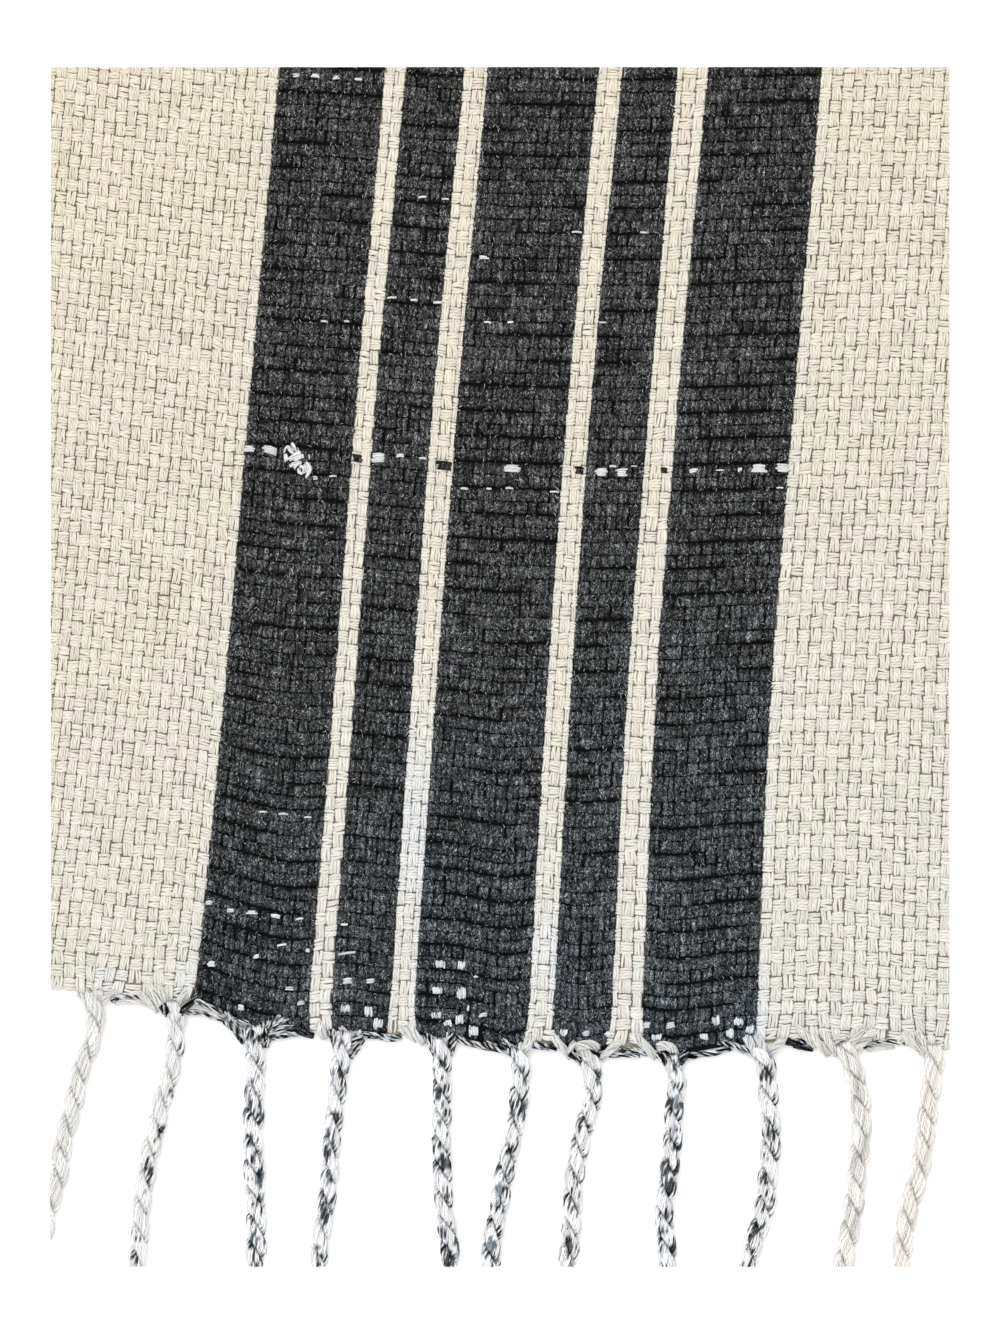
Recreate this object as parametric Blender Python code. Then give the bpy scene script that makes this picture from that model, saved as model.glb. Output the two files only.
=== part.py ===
"""Fringed end of a woven hammam towel, cut square on three sides and laid flat with its face up.

The cloth is one thin sheet. Its lower edge dips and rises between the cords, and it is a little thicker
where the warp gathers above each cord. The fringe is one comb along that edge: a narrow band of locking
strands with eleven twisted cords below it, cut off in one straight line. Metres, +Z up, +Y away from the
fringe, the origin under the middle of the piece.
"""

import math
from collections import namedtuple

import bmesh
import bpy
from mathutils import Vector

MM = 0.001
UP = Vector((0.0, 0.0, 1.0))

# The whole piece, in millimetres.
PIECE_WIDTH = 224.5
PIECE_LENGTH = 299.4
CUT_LEFT = -PIECE_WIDTH / 2
CUT_RIGHT = PIECE_WIDTH / 2
CUT_TOP = PIECE_LENGTH / 2
CLEARANCE = 0.3

# The cloth.
CLOTH_THICKNESS = 2.0
CLOTH_COLUMNS = 60
CLOTH_ROWS = 20
RIPPLE_HEIGHT = 0.12
RIPPLE_ACROSS = 46.0
RIPPLE_ALONG = 61.0
GATHER_HEIGHT = 0.5
GATHER_REACH_ACROSS = 6.0
GATHER_REACH_ALONG = 9.0

# The band of locking strands, which follows the cloth's lower edge.
BAND_DEPTH = 2.2
BAND_HEIGHT = 2.0
BAND_OVERRUN_COLUMNS = 1

# The twisted cords.
CORD_RADIUS = 2.35
CORD_CENTRE_HEIGHT = 2.05
PLY_SWELL = 0.12
PLY_LENGTH = 6.5
PLIES = 2
CORD_SIDES = 8
CORD_STEP = 1.8
CORD_OVERRUN = 2.5
ROOT_INSET = 0.8
ROOT_CENTRE_HEIGHT = 1.0
ROOT_HALF_HEIGHT = 0.8
FLARE_LENGTH = 7.0
PATH_SAMPLES = 12

# The finishes, in linear colour.
CLOTH_CREAM = (0.80, 0.73, 0.60)
CORD_CREAM = (0.74, 0.70, 0.65)
COTTON_ROUGHNESS = 0.9

# The lower edge of the band, from the left cut to the right cut.
Point = namedtuple("Point", "across along")
LOWER_EDGE = (
    Point(-117.0, -80.9),
    Point(-102.0, -81.9),
    Point(-90.4, -83.9),
    Point(-76.9, -85.6),
    Point(-66.1, -89.6),
    Point(-52.6, -92.9),
    Point(-39.0, -92.2),
    Point(-29.1, -93.4),
    Point(-9.6, -94.6),
    Point(0.9, -97.1),
    Point(11.6, -96.1),
    Point(18.6, -98.1),
    Point(30.6, -97.1),
    Point(44.0, -98.4),
    Point(56.9, -96.6),
    Point(73.1, -95.4),
    Point(94.6, -95.4),
    Point(117.0, -95.8),
)

# Each cord: its width where it leaves the band, where its first ply starts (as a part of a ply's length), and
# the points of its middle line from the band to the cut.
Cord = namedtuple("Cord", "root_width ply_start route")
CORDS = (
    Cord(7.5, 0.1, (Point(-101.4, -81.5), Point(-101.0, -90.4), Point(-104.4, -99.9), Point(-106.4, -108.9),
                    Point(-108.9, -117.9), Point(-110.2, -126.9), Point(-112.7, -135.9), Point(-114.4, -144.9),
                    Point(-115.0, -149.7))),
    Cord(10.0, 0.4, (Point(-81.4, -84.0), Point(-80.9, -91.0), Point(-81.9, -99.9), Point(-84.4, -108.9),
                     Point(-86.4, -117.9), Point(-88.4, -126.9), Point(-89.4, -135.9), Point(-90.1, -144.9),
                     Point(-90.6, -149.7))),
    Cord(9.0, 0.7, (Point(-61.6, -89.8), Point(-60.9, -99.9), Point(-61.4, -108.9), Point(-61.6, -117.9),
                    Point(-61.4, -126.9), Point(-60.9, -135.9), Point(-60.9, -144.9), Point(-60.9, -149.7))),
    Cord(9.5, 0.2, (Point(-38.9, -91.4), Point(-39.9, -99.9), Point(-40.9, -108.9), Point(-41.9, -117.9),
                    Point(-42.4, -126.9), Point(-43.6, -135.9), Point(-44.9, -144.9), Point(-45.1, -149.7))),
    Cord(8.0, 0.5, (Point(-14.6, -93.4), Point(-14.4, -99.9), Point(-14.4, -108.9), Point(-14.6, -117.9),
                    Point(-14.4, -126.9), Point(-13.9, -135.9), Point(-12.6, -144.9), Point(-12.4, -149.7))),
    Cord(8.0, 0.9, (Point(4.4, -95.8), Point(5.3, -101.0), Point(4.6, -108.9), Point(3.1, -117.9),
                    Point(1.1, -126.9), Point(-0.4, -135.9), Point(-2.1, -144.9), Point(-2.1, -149.7))),
    Cord(9.5, 0.3, (Point(21.6, -97.0), Point(22.9, -101.0), Point(22.9, -108.9), Point(20.3, -117.9),
                    Point(18.6, -126.9), Point(18.1, -135.9), Point(17.4, -144.9), Point(16.8, -149.7))),
    Cord(8.5, 0.6, (Point(42.8, -97.2), Point(44.1, -102.9), Point(43.6, -108.9), Point(43.1, -117.9),
                    Point(42.1, -126.9), Point(41.1, -135.9), Point(41.6, -144.9), Point(41.9, -149.7))),
    Cord(9.0, 0.0, (Point(64.2, -94.8), Point(66.4, -99.9), Point(67.1, -108.9), Point(67.6, -117.9),
                    Point(66.9, -126.9), Point(65.9, -135.9), Point(63.1, -144.9), Point(61.9, -149.7))),
    Cord(10.0, 0.4, (Point(85.4, -94.2), Point(87.9, -99.9), Point(90.1, -108.9), Point(90.1, -117.9),
                     Point(89.1, -126.9), Point(88.1, -135.9), Point(86.6, -144.9), Point(85.6, -149.7))),
    Cord(8.0, 0.8, (Point(108.4, -94.5), Point(108.4, -99.9), Point(107.1, -108.9), Point(106.1, -117.9),
                    Point(104.6, -126.9), Point(102.1, -135.9), Point(100.6, -144.9), Point(100.4, -149.7))),
)


def clear_scene():
    """Remove what the scene holds."""
    for item in list(bpy.data.objects):
        bpy.data.objects.remove(item, do_unlink=True)


def fabric_material(name, colour, roughness):
    """A plain woven finish: linear colour, roughness, no metal."""
    material = bpy.data.materials.new(name)
    material.use_nodes = True
    shader = material.node_tree.nodes["Principled BSDF"]
    shader.inputs["Base Color"].default_value = (*colour, 1.0)
    shader.inputs["Roughness"].default_value = roughness
    shader.inputs["Metallic"].default_value = 0.0
    return material


def smooth_step(part):
    """0 before 0, 1 after 1, and a soft rise between."""
    part = min(max(part, 0.0), 1.0)
    return part * part * (3.0 - 2.0 * part)


def curve_point(before, start, end, after, part):
    """A point of the smooth curve that passes through start (part 0) and end (part 1)."""
    squared = part * part
    cubed = squared * part
    return 0.5 * (2.0 * start + (end - before) * part
                  + (2.0 * before - 5.0 * start + 4.0 * end - after) * squared
                  + (3.0 * start - before - 3.0 * end + after) * cubed)


def edge_along(across):
    """How far along the piece the band's lower edge lies, at a distance across it."""
    last = len(LOWER_EDGE) - 1
    stretch = 0
    while stretch < last - 1 and across > LOWER_EDGE[stretch + 1].across:
        stretch += 1
    start = LOWER_EDGE[stretch]
    end = LOWER_EDGE[stretch + 1]
    before = LOWER_EDGE[max(stretch - 1, 0)]
    after = LOWER_EDGE[min(stretch + 2, last)]
    part = (across - start.across) / (end.across - start.across)
    return curve_point(before.along, start.along, end.along, after.along, part)


def band_top_along(across):
    """The band's upper side."""
    return edge_along(across) + BAND_DEPTH


def cloth_edge_along(across):
    """The cloth's lower edge, just clear of the band."""
    return band_top_along(across) + CLEARANCE


def cut_top_along(across):
    """The cloth's straight upper cut, the same at every distance across."""
    return CUT_TOP


def cloth_height(across, along):
    """The cloth's upper face: nearly level, with slow ripples, and thicker above each cord."""
    ripple = math.sin(2.0 * math.pi * across / RIPPLE_ACROSS + along / RIPPLE_ALONG)
    ripple += math.sin(2.0 * math.pi * along / RIPPLE_ALONG + across / RIPPLE_ACROSS)
    height = CLOTH_THICKNESS + RIPPLE_HEIGHT * ripple / 2.0
    for cord in CORDS:
        root = cord.route[0]
        beside = (across - root.across) / GATHER_REACH_ACROSS
        above = (along - root.along) / GATHER_REACH_ALONG
        height += GATHER_HEIGHT * math.exp(-beside * beside - above * above)
    return height


def band_height(across, along):
    """The band's upper face."""
    return BAND_HEIGHT


def sheet_mesh(name, left, right, lower, upper, height, columns, rows):
    """A flat-bottomed sheet between two edges, its upper face lifted to a height at each place."""
    shape = bmesh.new()
    bmesh.ops.create_grid(shape, x_segments=columns, y_segments=rows, size=0.5)
    for vertex in shape.verts:
        across = left + (vertex.co.x + 0.5) * (right - left)
        along = lower(across) + (vertex.co.y + 0.5) * (upper(across) - lower(across))
        vertex.co = (across * MM, along * MM, 0.0)
    underside = list(shape.faces)
    lifted = bmesh.ops.extrude_face_region(shape, geom=underside)
    for item in lifted["geom"]:
        if isinstance(item, bmesh.types.BMVert):
            item.co.z = height(item.co.x / MM, item.co.y / MM) * MM
    underside = [face for face in shape.faces if all(v.co.z == 0.0 for v in face.verts)]
    bmesh.ops.dissolve_faces(shape, faces=underside)
    bmesh.ops.recalc_face_normals(shape, faces=shape.faces)
    mesh = bpy.data.meshes.new(name)
    shape.to_mesh(mesh)
    shape.free()
    return mesh


def route_points(cord):
    """The cord's middle line as closely spaced flat points, run on a little past the cut."""
    root = Vector((cord.route[0].across, edge_along(cord.route[0].across) + ROOT_INSET))
    last = cord.route[-1]
    heading = Vector((last.across - cord.route[-2].across, last.along - cord.route[-2].along)).normalized()
    beyond = Vector((last.across, last.along)) + heading * CORD_OVERRUN
    points = [root, root] + [Vector((p.across, p.along)) for p in cord.route[1:]] + [beyond, beyond]
    line = []
    for stretch in range(1, len(points) - 2):
        for sample in range(PATH_SAMPLES):
            line.append(curve_point(*points[stretch - 1:stretch + 3], sample / PATH_SAMPLES))
    line.append(points[-1])
    return line


def even_stations(line, step):
    """Places along a line at even distances: (distance, point, heading)."""
    lengths = [0.0]
    for start, end in zip(line, line[1:]):
        lengths.append(lengths[-1] + (end - start).length)
    count = max(2, round(lengths[-1] / step))
    stations = []
    piece = 0
    for number in range(count + 1):
        distance = lengths[-1] * number / count
        while piece < len(line) - 2 and lengths[piece + 1] < distance:
            piece += 1
        start, end = line[piece], line[piece + 1]
        part = (distance - lengths[piece]) / (lengths[piece + 1] - lengths[piece])
        stations.append((distance, start.lerp(end, part), (end - start).normalized()))
    return stations


def cord_section(cord, distance, point, heading):
    """The points round a cord at one station: wide and low at the band, then round with two twisted plies."""
    grown = smooth_step(distance / FLARE_LENGTH)
    side = UP.cross(Vector((heading.x, heading.y, 0.0)))
    slope = edge_along(point.x + 1.0) - edge_along(point.x)
    side = Vector((1.0, slope, 0.0)).normalized().lerp(side, grown).normalized()
    turn = -math.pi * distance / PLY_LENGTH + 2.0 * math.pi * cord.ply_start
    centre = Vector((point.x, point.y, 0.0))
    centre_height = ROOT_CENTRE_HEIGHT + (CORD_CENTRE_HEIGHT - ROOT_CENTRE_HEIGHT) * grown
    lowest = (ROOT_CENTRE_HEIGHT - ROOT_HALF_HEIGHT) * (1.0 - grown)
    ring = []
    for number in range(CORD_SIDES):
        angle = 2.0 * math.pi * (number + 0.5) / CORD_SIDES
        radius = CORD_RADIUS * (1.0 + PLY_SWELL * math.cos(PLIES * (angle - turn)))
        half_width = cord.root_width / 2.0 + (radius - cord.root_width / 2.0) * grown
        half_height = ROOT_HALF_HEIGHT + (radius - ROOT_HALF_HEIGHT) * grown
        height = max(centre_height + half_height * math.sin(angle), lowest)
        ring.append((centre + side * (half_width * math.cos(angle)) + UP * height) * MM)
    return ring


def add_cord(shape, cord):
    """Loft one closed cord into a bmesh."""
    rings = []
    for distance, point, heading in even_stations(route_points(cord), CORD_STEP):
        corners = cord_section(cord, distance, point, heading)
        rings.append([shape.verts.new(corner) for corner in corners])
    for ring, following in zip(rings, rings[1:]):
        for number in range(CORD_SIDES):
            after = (number + 1) % CORD_SIDES
            shape.faces.new((ring[number], ring[after], following[after], following[number]))
    shape.faces.new(rings[0])
    shape.faces.new(list(reversed(rings[-1])))


def cords_mesh():
    """All the cords, each a closed shape of its own."""
    shape = bmesh.new()
    for cord in CORDS:
        add_cord(shape, cord)
    bmesh.ops.recalc_face_normals(shape, faces=shape.faces)
    mesh = bpy.data.meshes.new("cords")
    shape.to_mesh(mesh)
    shape.free()
    return mesh


def cut_block_mesh():
    """The block that keeps only what lies inside the square cut."""
    shape = bmesh.new()
    bmesh.ops.create_cube(shape, size=1.0)
    for vertex in shape.verts:
        vertex.co.x *= PIECE_WIDTH * MM
        vertex.co.y *= PIECE_LENGTH * MM
        vertex.co.z *= PIECE_WIDTH * MM
    mesh = bpy.data.meshes.new("cut_block")
    shape.to_mesh(mesh)
    shape.free()
    return mesh


def add_object(name, mesh, material=None):
    """Put a mesh into the scene under a name."""
    item = bpy.data.objects.new(name, mesh)
    bpy.context.scene.collection.objects.link(item)
    if material is not None:
        mesh.materials.append(material)
    return item


def add_helper(name, mesh):
    """A shape that only joins or cuts another and isn't part of the towel."""
    helper = add_object(name, mesh)
    helper.hide_render = True
    helper.display_type = "WIRE"
    return helper


def add_boolean(item, name, operation, operand):
    """Join or cut an object with a helper, by the exact solver."""
    boolean = item.modifiers.new(name, "BOOLEAN")
    boolean.operation = operation
    boolean.solver = "EXACT"
    boolean.object = operand


def make_cloth(material):
    """The woven sheet, with its uneven lower edge."""
    mesh = sheet_mesh("cloth", CUT_LEFT, CUT_RIGHT, cloth_edge_along, cut_top_along, cloth_height,
                      CLOTH_COLUMNS, CLOTH_ROWS)
    return add_object("cloth", mesh, material)


def make_fringe(material):
    """The comb: the band of locking strands and the cords below it, cut square."""
    overrun = BAND_OVERRUN_COLUMNS * PIECE_WIDTH / CLOTH_COLUMNS
    columns = CLOTH_COLUMNS + 2 * BAND_OVERRUN_COLUMNS
    mesh = sheet_mesh("fringe", CUT_LEFT - overrun, CUT_RIGHT + overrun, edge_along, band_top_along,
                      band_height, columns, 1)
    fringe = add_object("fringe", mesh, material)
    add_boolean(fringe, "join_cords", "UNION", add_helper("cords", cords_mesh()))
    add_boolean(fringe, "cut_square", "INTERSECT", add_helper("cut_block", cut_block_mesh()))
    return fringe


def main():
    """Build the towel's end."""
    clear_scene()
    make_cloth(fabric_material("woven_cotton", CLOTH_CREAM, COTTON_ROUGHNESS))
    make_fringe(fabric_material("twisted_cotton", CORD_CREAM, COTTON_ROUGHNESS))


main()
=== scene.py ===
"""The looks of a hammam towel's fringed end, cut square and laid flat with its face up.

The face is made of its strands. Each float of the basket weave is a closed shape that rises out of a thin
ground cloth and dives under its neighbours, and a map from columns and rows to real places carries the lean
of the stripes and the bow of the rows. Along the lower edge, twisted picks and fans of warp run into eleven
two-ply cords. Lengths are millimetres until a mesh is made.
"""

import logging
import math
from dataclasses import dataclass, field
from enum import Enum

import bmesh
import bpy
import numpy as np
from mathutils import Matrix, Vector


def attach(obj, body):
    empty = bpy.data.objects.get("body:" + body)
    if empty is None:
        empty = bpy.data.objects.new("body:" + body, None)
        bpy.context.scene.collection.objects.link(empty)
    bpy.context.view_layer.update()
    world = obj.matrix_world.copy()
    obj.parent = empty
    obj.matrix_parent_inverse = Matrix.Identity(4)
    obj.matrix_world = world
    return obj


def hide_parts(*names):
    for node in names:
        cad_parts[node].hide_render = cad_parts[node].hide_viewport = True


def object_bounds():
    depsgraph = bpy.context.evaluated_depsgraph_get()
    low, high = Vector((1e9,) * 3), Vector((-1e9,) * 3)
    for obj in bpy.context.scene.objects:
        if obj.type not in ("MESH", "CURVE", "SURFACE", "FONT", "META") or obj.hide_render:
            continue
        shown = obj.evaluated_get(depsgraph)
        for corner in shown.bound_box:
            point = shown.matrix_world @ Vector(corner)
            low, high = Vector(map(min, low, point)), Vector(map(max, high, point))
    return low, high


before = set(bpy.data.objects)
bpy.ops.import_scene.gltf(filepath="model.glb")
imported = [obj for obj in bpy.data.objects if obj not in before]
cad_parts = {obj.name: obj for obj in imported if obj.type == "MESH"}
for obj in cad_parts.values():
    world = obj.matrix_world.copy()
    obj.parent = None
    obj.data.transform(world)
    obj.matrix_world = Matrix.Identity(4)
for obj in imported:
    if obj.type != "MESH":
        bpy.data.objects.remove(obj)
CAD_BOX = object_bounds()

Array = np.ndarray
Draw = np.random.Generator
Mesh = bpy.types.Mesh
Socket = bpy.types.NodeSocket
Pair = tuple[float, float]
Triple = tuple[float, float, float]
Places = tuple[Pair, ...]
Numbers = tuple[float, ...]
MM = 0.001
LOWEST = 0.04
TINY = 1e-9
CUT_TOLERANCE = 1e-7
BODY = "root"
HALF_WIDTH = CAD_BOX[1].x / MM
HALF_LENGTH = CAD_BOX[1].y / MM
LOG = logging.getLogger("towel")


class Dye(Enum):
    """The two colours that the yarn is dyed in."""

    CREAM = 0.0
    CHARCOAL = 1.0


class Slot(Enum):
    """The record's material slots."""

    WOVEN = "woven_cotton"
    TWISTED = "twisted_cotton"


@dataclass(frozen=True)
class Line:
    """A smooth line through a few places, each with its value."""

    places: Numbers
    values: Numbers

    def at(self, place: Array | float) -> Array:
        """Read the line; past its ends it runs straight on.

        Args:
            place: where it is read.

        Returns:
            The values there.
        """
        xs = np.asarray(self.places)
        ys = np.asarray(self.values)
        slopes = np.gradient(ys, xs)
        place = np.asarray(place, float)
        spot = np.clip(place, xs[0], xs[-1])
        stretch = np.clip(np.searchsorted(xs, spot, side="right") - 1, 0, len(xs) - 2)
        gap = xs[stretch + 1] - xs[stretch]
        part = (spot - xs[stretch]) / gap
        rest = 1.0 - part
        value = ys[stretch] * (1.0 + 2.0 * part) * rest**2 + ys[stretch + 1] * part**2 * (1.0 + 2.0 * rest)
        value += gap * part * rest * (slopes[stretch] * rest - slopes[stretch + 1] * part)
        end_slope = np.where(place < xs[0], slopes[0], slopes[-1])
        return value + (place - spot) * end_slope


@dataclass(frozen=True)
class WarpLine:
    """A warp line down the cloth: its column, and how far across it lies at each of the map's levels."""

    column: float
    across: Numbers


@dataclass(frozen=True)
class Stripe:
    """A charcoal stripe: its first column, and the column after its last."""

    first_column: int
    last_column: int


@dataclass(frozen=True)
class Narrow:
    """A column narrower than the others, and how many strands its floats have."""

    column: int
    strands: int


PICTURE_SCALE = 4.0
PICTURE_MIDDLE = (499.5, 666.5)


@dataclass(frozen=True)
class WeaveMap:
    """Where each column and row of the weave lies.

    Columns count from the left, and rows down from the flawed row.
    """

    levels: Numbers = (-90.9, -8.4, 66.6, 149.6)
    warp_lines: tuple[WarpLine, ...] = (
        WarpLine(0.0, (-140.4, -127.5, -120.8, -113.4)),
        WarpLine(22.0, (-76.9, -68.9, -62.5, -55.1)),
        WarpLine(32.0, (-48.3, -41.6, -35.9, -28.6)),
        WarpLine(33.0, (-45.8, -39.2, -33.6, -26.1)),
        WarpLine(34.0, (-42.7, -36.4, -31.0, -23.4)),
        WarpLine(39.0, (-27.9, -22.2, -16.7, -8.8)),
        WarpLine(40.0, (-26.0, -20.3, -14.6, -6.6)),
        WarpLine(41.0, (-23.4, -17.6, -11.6, -3.8)),
        WarpLine(42.0, (-21.9, -16.1, -10.5, -3.0)),
        WarpLine(52.0, (6.9, 11.6, 17.0, 24.7)),
        WarpLine(53.0, (8.6, 13.4, 19.1, 26.9)),
        WarpLine(54.0, (11.6, 16.2, 21.9, 29.9)),
        WarpLine(55.0, (13.2, 17.6, 22.8, 30.6)),
        WarpLine(60.0, (27.7, 31.7, 37.4, 44.3)),
        WarpLine(61.0, (29.1, 33.0, 38.8, 45.9)),
        WarpLine(62.0, (32.4, 36.2, 41.9, 49.4)),
        WarpLine(63.0, (35.4, 39.0, 44.5, 52.1)),
        WarpLine(73.0, (64.0, 67.5, 73.4, 80.4)),
        WarpLine(91.0, (117.9, 120.4, 125.4, 130.9)),
    )
    stripes: tuple[Stripe, ...] = (
        Stripe(22, 32), Stripe(34, 39), Stripe(42, 52), Stripe(55, 60), Stripe(63, 73),
    )
    narrow: tuple[Narrow, ...] = (
        Narrow(32, 3), Narrow(33, 3), Narrow(39, 3), Narrow(41, 2), Narrow(52, 3), Narrow(54, 2),
        Narrow(60, 2), Narrow(62, 3),
    )
    flawed_row: Line = Line(
        (-112.0, -95.0, -77.4, -62.4, -34.9, -13.9, 2.9, 20.1, 37.6, 60.1, 75.1, 112.0),
        (61.1, 58.8, 56.4, 54.4, 52.0, 50.1, 49.3, 48.8, 48.6, 49.1, 49.5, 49.6),
    )
    pitch_above: Line = Line((-112.0, -77.0, -40.0, 0.0, 60.0, 112.0), (3.14, 3.14, 3.18, 3.2, 3.22, 3.225))
    edge: Line = Line(
        (-117.0, -102.0, -90.4, -76.9, -66.1, -52.6, -39.0, -29.1, -9.6, 0.9, 11.6, 18.6, 30.6, 44.0, 56.9,
         73.1, 94.6, 117.0),
        (-80.9, -81.9, -83.9, -85.6, -89.6, -92.9, -92.2, -93.4, -94.6, -97.1, -96.1, -98.1, -97.1, -98.4,
         -96.6, -95.4, -95.4, -95.8),
    )
    rows_above: int = 32
    rows_below: int = 44
    edge_margin: Line = Line(
        (-117.0, -100.0, -86.0, -50.0, 90.0, 104.0, 117.0), (0.5, 0.8, 1.9, 2.1, 1.7, 1.0, 0.6),
    )
    mean_pitch: float = 3.2
    mean_flaw: float = 51.0

    def _line_places(self, along: Array) -> Array:
        """Where every warp line lies across the piece, (lines, places)."""
        return np.array([Line(self.levels, line.across).at(along) for line in self.warp_lines])

    def across(self, column: Array, along: Array) -> Array:
        """How far across a column lies at a distance along the piece.

        Args:
            column: columns, counted from the left.
            along: distances along the piece, of the same shape.

        Returns:
            Distances across the piece.
        """
        flat_along = np.ravel(along)
        flat_column = np.ravel(column)
        lines = self._line_places(flat_along)
        columns = np.array([line.column for line in self.warp_lines])
        left = np.clip(np.searchsorted(columns, flat_column, side="right") - 1, 0, len(columns) - 2)
        part = (flat_column - columns[left]) / (columns[left + 1] - columns[left])
        order = np.arange(len(flat_along))
        place = lines[left, order] * (1.0 - part) + lines[left + 1, order] * part
        return place.reshape(np.shape(along))

    def along(self, across: Array, row: Array) -> Array:
        """How far along a row lies at a distance across the piece.

        Args:
            across: distances across the piece.
            row: rows, counted down from the flawed row.

        Returns:
            Distances along the piece.
        """
        flaw = self.flawed_row.at(across)
        above = flaw - row * self.pitch_above.at(across)
        lowest = self.edge.at(across) + self.edge_margin.at(across)
        below = flaw + (lowest - flaw) * row / (self.rows_below + 0.5)
        return np.where(row < 0.0, above, below)

    def place(self, column: Array, row: Array) -> tuple[Array, Array]:
        """Where a column crosses a row.

        Args:
            column: columns.
            row: rows, of the same shape.

        Returns:
            Distances across and along the piece.
        """
        nominal = self.mean_flaw - row * self.mean_pitch
        along = self.along(self.across(column, nominal), row)
        return self.across(column, along), along

    def column_at(self, across: Array, along: Array) -> Array:
        """Which column lies at a place.

        Args:
            across: distances across the piece.
            along: distances along the piece, of the same shape.

        Returns:
            Columns.
        """
        lines = self._line_places(along)
        columns = np.array([line.column for line in self.warp_lines])
        left = np.clip(np.sum(lines <= across, axis=0) - 1, 0, len(columns) - 2)
        order = np.arange(len(along))
        start = lines[left, order]
        part = (across - start) / (lines[left + 1, order] - start)
        return columns[left] + part * (columns[left + 1] - columns[left])

    def dye_of(self, column: Array) -> Array:
        """The dye of each column.

        Args:
            column: columns.

        Returns:
            0 for cream and 1 for charcoal.
        """
        dye = np.full(np.shape(column), Dye.CREAM.value)
        for stripe in self.stripes:
            dye[(column >= stripe.first_column) & (column < stripe.last_column)] = Dye.CHARCOAL.value
        return dye


@dataclass(frozen=True)
class Cut:
    """A straight cut: everything past the point, the way that the normal points, goes."""

    point: Triple
    normal: Triple


CUTS = (
    Cut((-HALF_WIDTH, 0.0, 0.0), (-1.0, 0.0, 0.0)),
    Cut((HALF_WIDTH, 0.0, 0.0), (1.0, 0.0, 0.0)),
    Cut((0.0, HALF_LENGTH, 0.0), (0.0, 1.0, 0.0)),
    Cut((0.0, -HALF_LENGTH, 0.0), (0.0, -1.0, 0.0)),
)


def kept(amount: Array | float) -> Array:
    """An amount, kept from 0 to 1."""
    return np.clip(amount, 0.0, 1.0)


def smooth_step(part: Array) -> Array:
    """0 before 0, 1 after 1, and a soft rise between."""
    part = kept(part)
    return part * part * (3.0 - 2.0 * part)


def outside(points: Array) -> Array:
    """Which points, in millimetres, lie past any of the cuts."""
    past = [(points - np.array(cut.point)) @ np.array(cut.normal) > 0.0 for cut in CUTS]
    return np.any(past, axis=0)


def as_mesh(name: str, shape: bmesh.types.BMesh) -> Mesh:
    """Turn a shape into a mesh, and free it.

    Args:
        name: the mesh's name.
        shape: the shape.

    Returns:
        The mesh.
    """
    mesh = bpy.data.meshes.new(name)
    shape.to_mesh(mesh)
    shape.free()
    return mesh


def points_of(mesh: Mesh) -> Array:
    """The points of a mesh.

    Args:
        mesh: the mesh.

    Returns:
        One point a row.
    """
    points = np.empty(len(mesh.vertices) * 3)
    mesh.vertices.foreach_get("co", points)
    return points.reshape(-1, 3)


def hold(mesh: Mesh, name: str, values: Array) -> None:
    """Keep a number at every point of a mesh, for its finish to read."""
    numbers = values.astype(np.float32).ravel()
    mesh.attributes.new(name, "FLOAT", "POINT").data.foreach_set("value", numbers)


def quarter_left(heading: Array) -> Array:
    """Flat headings, turned a quarter to the left."""
    return np.stack([-heading[:, 1], heading[:, 0]], axis=1)


def raised(flat: Array, height: Array) -> Array:
    """A flat line raised to its heights, as one strand's route."""
    return np.concatenate([flat, height[:, None]], axis=1)[None]


def trim(shape: bmesh.types.BMesh) -> None:
    """Cut a mesh square and close what the cuts open.

    Args:
        shape: the mesh, in metres.
    """
    for cut in CUTS:
        everything = [*shape.verts, *shape.edges, *shape.faces]
        result = bmesh.ops.bisect_plane(
            shape, geom=everything, dist=CUT_TOLERANCE, plane_co=Vector(cut.point) * MM, plane_no=cut.normal,
            clear_outer=True,
        )
        rim = [item for item in result["geom_cut"] if isinstance(item, bmesh.types.BMEdge)]
        if rim:
            caps = bmesh.ops.holes_fill(shape, edges=rim, sides=0)
            for face in caps["faces"]:
                face.smooth = False
            for edge in rim:
                edge.smooth = False


def show(name: str, shape: "Strands | Ground", material: bpy.types.Material) -> bpy.types.Object:
    """Put a piece of the towel into the scene.

    Args:
        name: the piece's name.
        shape: what makes its mesh, in place: strands or the ground.
        material: its finish.

    Returns:
        The piece.
    """
    mesh = shape.mesh(name)
    piece = bpy.data.objects.new(name, mesh)
    bpy.context.scene.collection.objects.link(piece)
    mesh.materials.append(material)
    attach(piece, BODY)
    LOG.info("%s: %d faces", name, len(mesh.polygons))
    return piece


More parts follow.
